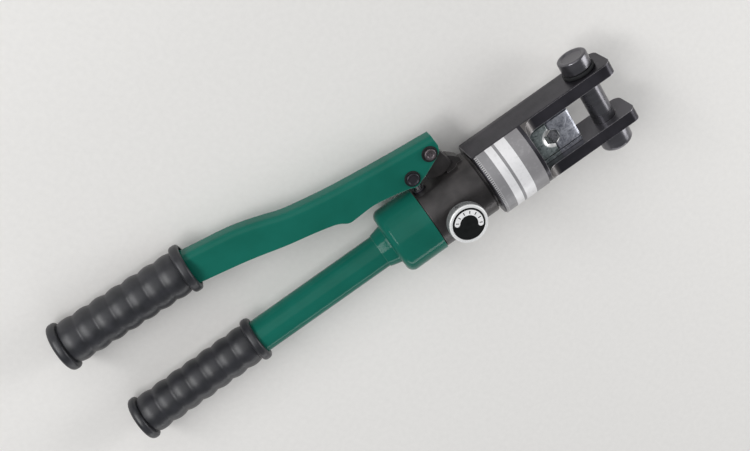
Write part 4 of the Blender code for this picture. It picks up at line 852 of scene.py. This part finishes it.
fixed_grip = grip(
    "handle_rubber", length=0.1051, crest=0.0152, valley=0.0139, bead=0.0170, front_bead=0.0064,
    end_bead=0.0062, bore=0.0130, end_wall=0.0023,
)
FIXED_MOUTH_X = -0.1685
fixed_grip.data.transform(Matrix.Translation((FIXED_MOUTH_X, 0, 0)))
dress(fixed_grip, "frame", "black_rubber", "handle_grip", angle=50)
LEVER = (0.0035, 0.0452)  # datum of the lever's outline
GRIP_MOUTH, GRIP_TILT = Vector((-0.1785, 0.0308)), math.radians(2.7)
lever_grip = grip(
    "lever_rubber", length=0.1067, crest=0.0162, valley=0.0149, bead=0.0182, front_bead=0.0068,
    end_bead=0.0068, bore=0.0133, end_wall=0.0030, mouth=(0.0052, 0.0149),
)
lever_grip.data.transform(
    Matrix.Translation(ORIGIN + Vector((LEVER[0] + GRIP_MOUTH.x, LEVER[1] + GRIP_MOUTH.y, 0)))
    @ Matrix.Rotation(-GRIP_TILT, 4, "Z") @ Matrix.Translation(-ORIGIN)
)
dress(lever_grip, "lever", "black_rubber", "lever_grip", angle=50)

# lever: sheet folded into a channel that is open below, drawn about its datum
BACK = (
    (0.0095, 0.0086), (-0.0187, 0.0113), (-0.0469, 0.0145), (-0.0751, 0.0184), (-0.1034, 0.0239),
    (-0.1175, 0.0288), (-0.1315, 0.0335), (-0.1455, 0.0370), (-0.1735, 0.0416), (-0.1815, 0.0431),
)
TOE = ((0.0097, 0.0033), (0.0094, -0.0006), (0.0059, -0.0055), (-0.0108, -0.0138))
BELLY = (
    (-0.0331, -0.0118), (-0.0470, -0.0092), (-0.0540, -0.0087), (-0.0640, -0.0092),
    (-0.0715, -0.0092), (-0.0770, -0.0058), (-0.0819, -0.0036), (-0.0959, 0.0001),
    (-0.1165, 0.0047), (-0.1445, 0.0122), (-0.1815, 0.0199),
)
SHEET, CHEEK_Z, FOLD_R, TANG_HALF, PIN_LOBE_R = 0.0020, 0.0085, 0.0046, 0.0098, 0.0072
tang_dir = Vector((-math.cos(GRIP_TILT), math.sin(GRIP_TILT)))
tang_up = Vector((tang_dir.y, -tang_dir.x))
tang_ends = [GRIP_MOUTH + tang_dir * s for s in (0.0042, 0.0900)]  # how deep in the grip


def lever_back(inset):
    """The lever's back and its tang's back, moved inwards by an inset."""
    back = [Vector(p) for p in smooth(BACK, 8)]
    moved = []
    for i, p in enumerate(back):
        run = back[min(i + 1, len(back) - 1)] - back[max(i - 1, 0)]
        moved.append(p + Vector((-run.y, run.x)).normalized() * inset)
    return [tuple(p) for p in moved + [e + tang_up * (TANG_HALF - inset) for e in tang_ends]]


back_line = lever_back(0)
pin_lobe = arc((LINK[0] - LEVER[0], LINK[1] - LEVER[1]), PIN_LOBE_R, -58, -128, 18)
cheek = back_line + [tuple(e - tang_up * TANG_HALF) for e in reversed(tang_ends)]
cheek += smooth(BELLY, 8)[::-1] + pin_lobe[::-1] + smooth(TOE, 5)[::-1][1:]


def folded(name, outline, half, last, radius):
    """An outline drawn out to both sides, its back rolled over by a radius up to a last point."""
    bm = bmesh.new()
    lay = Matrix.Translation((*LEVER, 0))
    turns = [math.radians(9 * k) for k in range(11)]  # a quarter turn in ten steps
    levels = [(half - radius + radius * math.sin(t), radius - radius * math.cos(t)) for t in turns]
    levels = [(-z, drop) for z, drop in reversed(levels)] + levels
    rings = []
    for z, drop in levels:
        rolled = [(u, v - drop if i <= last else v) for i, (u, v) in enumerate(outline)]
        rings.append([bm.verts.new(lay @ Vector((u, v, z))) for u, v in rolled])
    bm.faces.new(rings[0][::-1])
    bm.faces.new(rings[-1])
    for near, far in zip(rings, rings[1:]):
        for i in range(len(outline)):
            bm.faces.new((near[i - 1], near[i], far[i], far[i - 1]))
    return solid(name, bm)


lever = folded("lever_pressing", cheek, CHEEK_Z, len(back_line) - 1, FOLD_R)
hollow = lever_back(SHEET)
first, last = Vector(hollow[0]), Vector(hollow[-1])
PAST_END, BELOW = 0.01, -0.0388  # the hollow runs past both ends and out below
hollow = [(first.x + PAST_END, first.y)] + hollow + [tuple(last + tang_dir * PAST_END)]
back_count = len(hollow) - 1
hollow += [(hollow[-1][0], BELOW), (first.x + PAST_END, BELOW)]
combine(
    lever, "DIFFERENCE",
    folded("hollow", hollow, CHEEK_Z - SHEET, back_count, FOLD_R - SHEET),
    rod("fulcrum_eye", FULCRUM_EYE_R, -THROUGH, THROUGH, "Z", (*FULCRUM, 0), 48),
    rod("link_eye", LINK_EYE_R, -THROUGH, THROUGH, "Z", (*LINK, 0), 48),
)
dress(lever, "lever", "green_paint", "lever_channel", edge=0.0003)

# fulcrum bolt and plunger pin: turned heads with a dished face, each on a dark washer
HEAD_Z = CHEEK_Z + CLEAR
WASHER_TOP, HEAD_TOP, WASHER_R = HEAD_Z + 0.0008, HEAD_Z + 0.0030, 0.0058
dress(turned("fulcrum_bolt_turned", eased([
    (-0.0142, 0), (-0.0142, 0.0042, 0.0006), (WASHER_TOP, 0.0042, 0.0002),
    (WASHER_TOP + 0.0003, 0.0043, 0.0002), (HEAD_TOP, 0.0043, 0.0009), (HEAD_TOP, 0.0026, 0.0004),
    (HEAD_Z + 0.0025, 0.0018, 0.0003), (HEAD_Z + 0.0025, 0),
]), "Z", (*FULCRUM, 0), 64), "lever", "rubbed_bolt_steel", "fulcrum_bolt", slot="black_oxide_steel")
dress(turned("plunger_pin_turned", eased([
    (-0.0122, 0), (-0.0122, 0.0035, 0.0005), (-0.0101, 0.0035), (-0.0101, 0.0027),
    (-0.00865, 0.0027), (-0.00865, 0.0035), (WASHER_TOP, 0.0035), (WASHER_TOP, 0.0047, 0.0003),
    (HEAD_TOP, 0.0047, 0.0008), (HEAD_TOP, 0.0036, 0.0003), (HEAD_Z + 0.0022, 0.0032, 0.0003),
    (HEAD_Z + 0.0022, 0),
]), "Z", (*LINK, 0), 64), "lever", "black_oxide_steel", "plunger_pin")
for name, eye, bore in (("fulcrum_washer", FULCRUM, 0.0044), ("link_washer", LINK, 0.0037)):
    dress(turned(name, eased([
        (HEAD_Z, bore), (HEAD_Z, WASHER_R), (WASHER_TOP, WASHER_R, 0.0004), (WASHER_TOP, bore),
    ]), "Z", (*eye, 0), 64), "lever", "seal_rubber")

# release knob: an aluminium ring with a knurled rim round a black face that carries a white arc
KNOB_LOW, KNOB_R = KNOB_FACE_Z - 0.0080, 0.0144
KNURL_TEETH, KNURL_DEEP, KNURL_FADE = 48, 0.0005, 0.0016
knob_at = (KNOB_X, 0, 0)


def knurl(station, angle):
    """Depth of the knurl: V-grooves that stop short of the rim's chamfers."""
    inside = min(station - KNOB_LOW, KNOB_FACE_Z - station)
    if inside < KNURL_FADE:
        return 0.0
    tooth = abs((angle * KNURL_TEETH / math.tau) % 1.0 - 0.5) * 2
    return KNURL_DEEP * tooth


knob = turned("knob_ring", [
    (KNOB_LOW, 0.0033), (KNOB_LOW, 0.0134), (KNOB_LOW + 0.0008, 0.0141),
    (KNOB_LOW + 0.0018, KNOB_R), (KNOB_FACE_Z - 0.0018, KNOB_R), (KNOB_FACE_Z - 0.0011, 0.0142),
    (KNOB_FACE_Z - 0.0004, 0.0139), (KNOB_FACE_Z, 0.0134), (KNOB_FACE_Z, 0.0121),
    (KNOB_FACE_Z - 0.0002, 0.0119), (KNOB_FACE_Z - 0.0015, 0.0119), (KNOB_FACE_Z - 0.0015, 0.0033),
], "Z", knob_at, 192, knurl)
screw_hole = rod("screw_hole", 0.0018, 0, 0.03, "Y", (KNOB_X, 0, KNOB_LOW + 0.0032), 32)
combine(knob, "DIFFERENCE", screw_hole)
dress(knob, "release", "knurled_aluminium", "release_knob", angle=25)
dress(turned("knob_face", eased([
    (KNOB_FACE_Z - 0.0012, 0), (KNOB_FACE_Z - 0.0012, 0.0116), (KNOB_FACE_Z, 0.0116, 0.0003),
    (KNOB_FACE_Z, 0),
]), "Z", knob_at), "release", "black_plastic", "knob_disc")
# the arc, with rounded ends, and a scale of ticks on it
ARC_IN, ARC_OUT, ARC_FROM, ARC_TO = 0.0066, 0.0105, -32.0, 146.0
TICK_HALF_DEG, TICK_HALF = 2.2, 0.0011
INK_TOP, TICK_TOP = KNOB_FACE_Z + 0.00006, KNOB_FACE_Z + 0.0001
arc_mid, arc_half = (ARC_IN + ARC_OUT) / 2, (ARC_OUT - ARC_IN) / 2
arc_first, arc_last = arc((0, 0), arc_mid, ARC_FROM, ARC_TO, 1)
band = arc((0, 0), ARC_OUT, ARC_FROM, ARC_TO, 56)
band += arc(arc_last, arc_half, ARC_TO, ARC_TO + 180, 14)[1:-1]
band += arc((0, 0), ARC_IN, ARC_TO, ARC_FROM, 56)
band += arc(arc_first, arc_half, ARC_FROM + 180, ARC_FROM + 360, 14)[1:-1]
dress(extruded("knob_arc", band, "Z", KNOB_FACE_Z, INK_TOP, knob_at), "release", "white_ink")
for i, a in enumerate((-28, 0, 28, 57, 86, 114, 142)):
    tick = arc((0, 0), arc_mid + TICK_HALF, a - TICK_HALF_DEG, a + TICK_HALF_DEG, 2)
    tick += arc((0, 0), arc_mid - TICK_HALF, a + TICK_HALF_DEG, a - TICK_HALF_DEG, 2)
    tick = extruded(f"knob_tick_{i + 1}", tick, "Z", INK_TOP, TICK_TOP, knob_at)
    dress(tick, "release", "black_plastic")

# dies: two plated blocks on rails that fill the slot, each with half of the hexagon where they part


def die_outline(low, high, free_low, half):
    """Plan of a die or of its rails, its free end's corners rounded."""
    corners = [(low, -half), (high, -half), (high, half), (low, half)]
    return eased([(*p, DIE_CORNER if (p[0] == low) == free_low else 0) for p in corners], 3)


def die(name, node, low, high, free_low, mouth, finish):
    """A die with grooves beside its rails, chamfered ends, bores and a cone round the hexagon."""
    block_die = extruded(name, die_outline(low, high, free_low, DIE_Y), "Z", -DIE_Z, DIE_Z)
    rails = extruded("rails", die_outline(low, high, free_low, RAIL_Y), "Z", -RAIL_Z, RAIL_Z)
    combine(block_die, "UNION", rails)
    inner, rim = HEX_R * math.cos(math.pi / 6), DIE_Z + 0.001
    slope = MOUTH_DEEP / (MOUTH_R - inner)
    seat = DIE_Z - (mouth - inner) * slope
    at = (HEX_X, 0, 0)
    hexagon = [(-THROUGH, 0), (-THROUGH, HEX_R), (THROUGH, HEX_R), (THROUGH, 0)]
    tools = [turned("hexagon", hexagon, "Z", at, 6, turn=math.pi / 6)]
    for y in (DOWEL_Y, -DOWEL_Y):
        dowel_ends = HEX_X - DOWEL_HALF, HEX_X + DOWEL_HALF
        tools.append(rod("dowel_hole", DOWEL_HOLE_R, *dowel_ends, "X", (0, y, 0), 24))
    for s in (1, -1):
        for y in (1, -1):
            near, far, floor_z = y * DIE_Y, y * (DIE_Y + GROOVE_W), s * (RAIL_Z - GROOVE_DEEP)
            tools.append(extruded("groove", [
                (near, floor_z), (far, floor_z), (far, s * rim), (near, s * rim),
            ], "X", low - DIE_PAST, high + DIE_PAST))
        tools.append(turned("mouth", [
            (s * seat, 0), (s * seat, inner), (s * rim, mouth + (rim - DIE_Z) / slope),
            (s * rim, 0),
        ], "Z", at))
        for x, out, free in ((low, -1, free_low), (high, 1, not free_low)):
            wide, deep = FREE_CHAMFER if free else PARTING_CHAMFER
            tools.append(extruded("end_chamfer", [
                (s * DIE_Z, x - out * wide), (s * (DIE_Z + DIE_PAST), x - out * wide),
                (s * (DIE_Z + DIE_PAST), x + out * DIE_PAST),
                (s * (DIE_Z - deep), x + out * DIE_PAST), (s * (DIE_Z - deep), x),
            ], "Y", -0.03, 0.03))
    if free_low:
        tools.append(rod("stud_hole", 0.0043, 0.06, 0.0738, "X", (0, 0, 0), 40))
        tools.append(rod("screw_hole", 0.0021, -THROUGH, 0, "Z", (0.07125, 0, 0), 24))
    combine(block_die, "DIFFERENCE", *tools)
    dress(block_die, "ram", finish, node, edge=0.0003, slot="zinc_plated_steel")


die("die_block_lower", "lower_die", DIE_LOW, PARTING, True, MOUTH_R, "zinc_plated_steel")
die("die_block_upper", "upper_die", DIE_SPLIT, DIE_FRONT, False, UPPER_MOUTH_R, "blue_zinc_steel")

# return spring: a wound wire in the imported spring's place
WIRE_R, WIRE_TURNS, WIRE_STEPS, WIRE_SIDES, RAM_TRAVEL = 0.0006, 4, 40, 10, 0.0136
spring_low, spring_high = (Vector(corner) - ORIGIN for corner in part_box("return_spring"))
spring_len, coil_r = spring_high.x - spring_low.x, (spring_high.y - spring_low.y) / 2 - WIRE_R
bm = bmesh.new()
rings = []
for i in range(WIRE_TURNS * WIRE_STEPS + 1):
    share = i / (WIRE_TURNS * WIRE_STEPS)
    wound = math.tau * WIRE_TURNS * share
    out = Vector((0, math.cos(wound), math.sin(wound)))
    station = spring_low.x + WIRE_R + (spring_len - 2 * WIRE_R) * share
    centre = Vector((station, 0, 0)) + out * coil_r
    spokes = [math.tau * k / WIRE_SIDES for k in range(WIRE_SIDES)]
    spokes = [out * math.cos(t) + Vector((math.sin(t), 0, 0)) for t in spokes]
    rings.append([bm.verts.new(centre + WIRE_R * spoke) for spoke in spokes])
bm.faces.new(rings[0])
bm.faces.new(rings[-1])
for ring, after in zip(rings, rings[1:]):
    for k in range(WIRE_SIDES):
        bm.faces.new((ring[k - 1], ring[k], after[k], after[k - 1]))
spring = dress(solid("return_coil", bm), "frame", "spring_steel", "return_spring", angle=60)
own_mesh(spring)

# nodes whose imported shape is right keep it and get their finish
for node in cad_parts.values():
    own = node.material_slots[0].material.name.split(".")[0]
    if not node.hide_render:
        node.material_slots[0].material = LOOKS[own]
# the gland and the knob's screw are blackened
for name in ("plunger_gland", "knob_grub_screw"):
    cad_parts[name].material_slots[0].material = LOOKS["black_oxide_steel"]
for name in ("fulcrum_nut", "valve_gland_nut", "plunger_pin_clip", "pump_plunger"):
    ease_edges(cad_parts[name], 0.0003)

# ---------------------------------------------------------------- floor, light and camera

# the floor touches the yoke's base and both grips, so it leans a little against the model's frame
FLOOR_R, FLOOR_GAP = 6.0, 0.0002
rests = ((YOKE_X, 0, -YOKE_R), (-0.2690, 0, -0.0170), (-0.2780, 0.0810, -0.0182))
rests = [Vector(p) + ORIGIN for p in rests]
normal = (rests[2] - rests[0]).cross(rests[1] - rests[0]).normalized()
normal = normal if normal.z > 0 else -normal
bm = bmesh.new()
bmesh.ops.create_circle(bm, cap_ends=True, segments=96, radius=FLOOR_R)
floor_mesh = bpy.data.meshes.new("floor")
bm.to_mesh(floor_mesh)
bm.free()
floor = bpy.data.objects.new("floor", floor_mesh)
leaning = normal.to_track_quat("Z", "Y").to_matrix().to_4x4()
floor.matrix_world = Matrix.Translation(rests[0] - normal * FLOOR_GAP) @ leaning
bpy.context.collection.objects.link(floor)
# matt studio paper: an even warm white with a faint fibre, in clumps of 4 mm
paper, tree, shader, place = start("studio_paper", Roughness=0.9)
fibre = add(tree, "TexNoise", {"Scale": per_mm(4), "Detail": 3.0}, {"Vector": place})
tone = add(
    tree, "ValToRGB", {"stops": ((0.2, "#e4e2df"), (0.8, "#e9e7e4"))},
    {"Fac": fibre.outputs["Fac"]},
)
tree.links.new(tone.outputs["Color"], shader.inputs["Base Color"])
floor_mesh.materials.append(paper)

world = bpy.data.worlds.new("studio")
bpy.context.scene.world = world
world.use_nodes = True
sky = world.node_tree.nodes["Background"]
sky.inputs["Color"].default_value = linear("#e8ebef")
sky.inputs["Strength"].default_value = 0.26

# view: above the tool and a little to the lever's side, the tool running up to the right
LEAN, ROLL, DISTANCE = math.radians(26.0), math.radians(35.2), 0.838
AIM_ALONG, AIM_ACROSS = -0.0547, 0.0172
SENSOR_MM, FOCAL_PX, IMAGE_PX = 36.0, 1164, 750
across = Vector((0, math.cos(LEAN), -math.sin(LEAN)))
toward = Vector((0, math.sin(LEAN), math.cos(LEAN)))
along = Vector((1, 0, 0))
right = along * math.cos(ROLL) - across * math.sin(ROLL)
up = along * math.sin(ROLL) + across * math.cos(ROLL)
aim = ORIGIN + along * AIM_ALONG + across * AIM_ACROSS


def facing(right, up, back, at):
    """Matrix of a camera or lamp that looks against back."""
    turn = Matrix((right, up, back)).transposed().to_4x4()
    return Matrix.Translation(at) @ turn


lens = bpy.data.cameras.new("view")
lens.sensor_width = SENSOR_MM
lens.lens = SENSOR_MM * FOCAL_PX / IMAGE_PX
camera = bpy.data.objects.new("view", lens)
camera.matrix_world = facing(right, up, toward, aim + toward * DISTANCE)
bpy.context.collection.objects.link(camera)
bpy.context.scene.camera = camera


def softbox(name, watts, size, offset):
    """An area lamp placed by its offset from the aim: along the tool, across it and to the camera.

    The first of its sizes runs along the tool.
    """
    lamp = bpy.data.lights.new(name, "AREA")
    lamp.energy = watts
    lamp.shape = "RECTANGLE"
    lamp.size, lamp.size_y = size
    at = aim + along * offset[0] + across * offset[1] + toward * offset[2]
    back = (at - aim).normalized()
    side = (along - back * along.dot(back)).normalized()
    box = bpy.data.objects.new(name, lamp)
    box.matrix_world = facing(side, back.cross(side), back, at)
    bpy.context.collection.objects.link(box)


# a key beyond the grips, a wide fill above, a weak one past the lever, a low strip for the lower
# edges of tube and cup, and a box off the head for the ends of the arms
softbox("key_softbox", 18.5, (0.40, 1.60), (-0.93, 0.24, 1.43))
softbox("top_softbox", 6.8, (1.2, 1.70), (0.08, 0.29, 1.65))
softbox("back_softbox", 0.7, (0.8, 0.5), (0.25, 0.85, 0.80))
softbox("rim_softbox", 5.0, (1.8, 0.20), (-0.10, -1.25, -0.28))
softbox("head_softbox", 4.5, (0.6, 0.5), (1.00, -0.41, 0.27))

bpy.context.scene.view_settings.view_transform = "Standard"
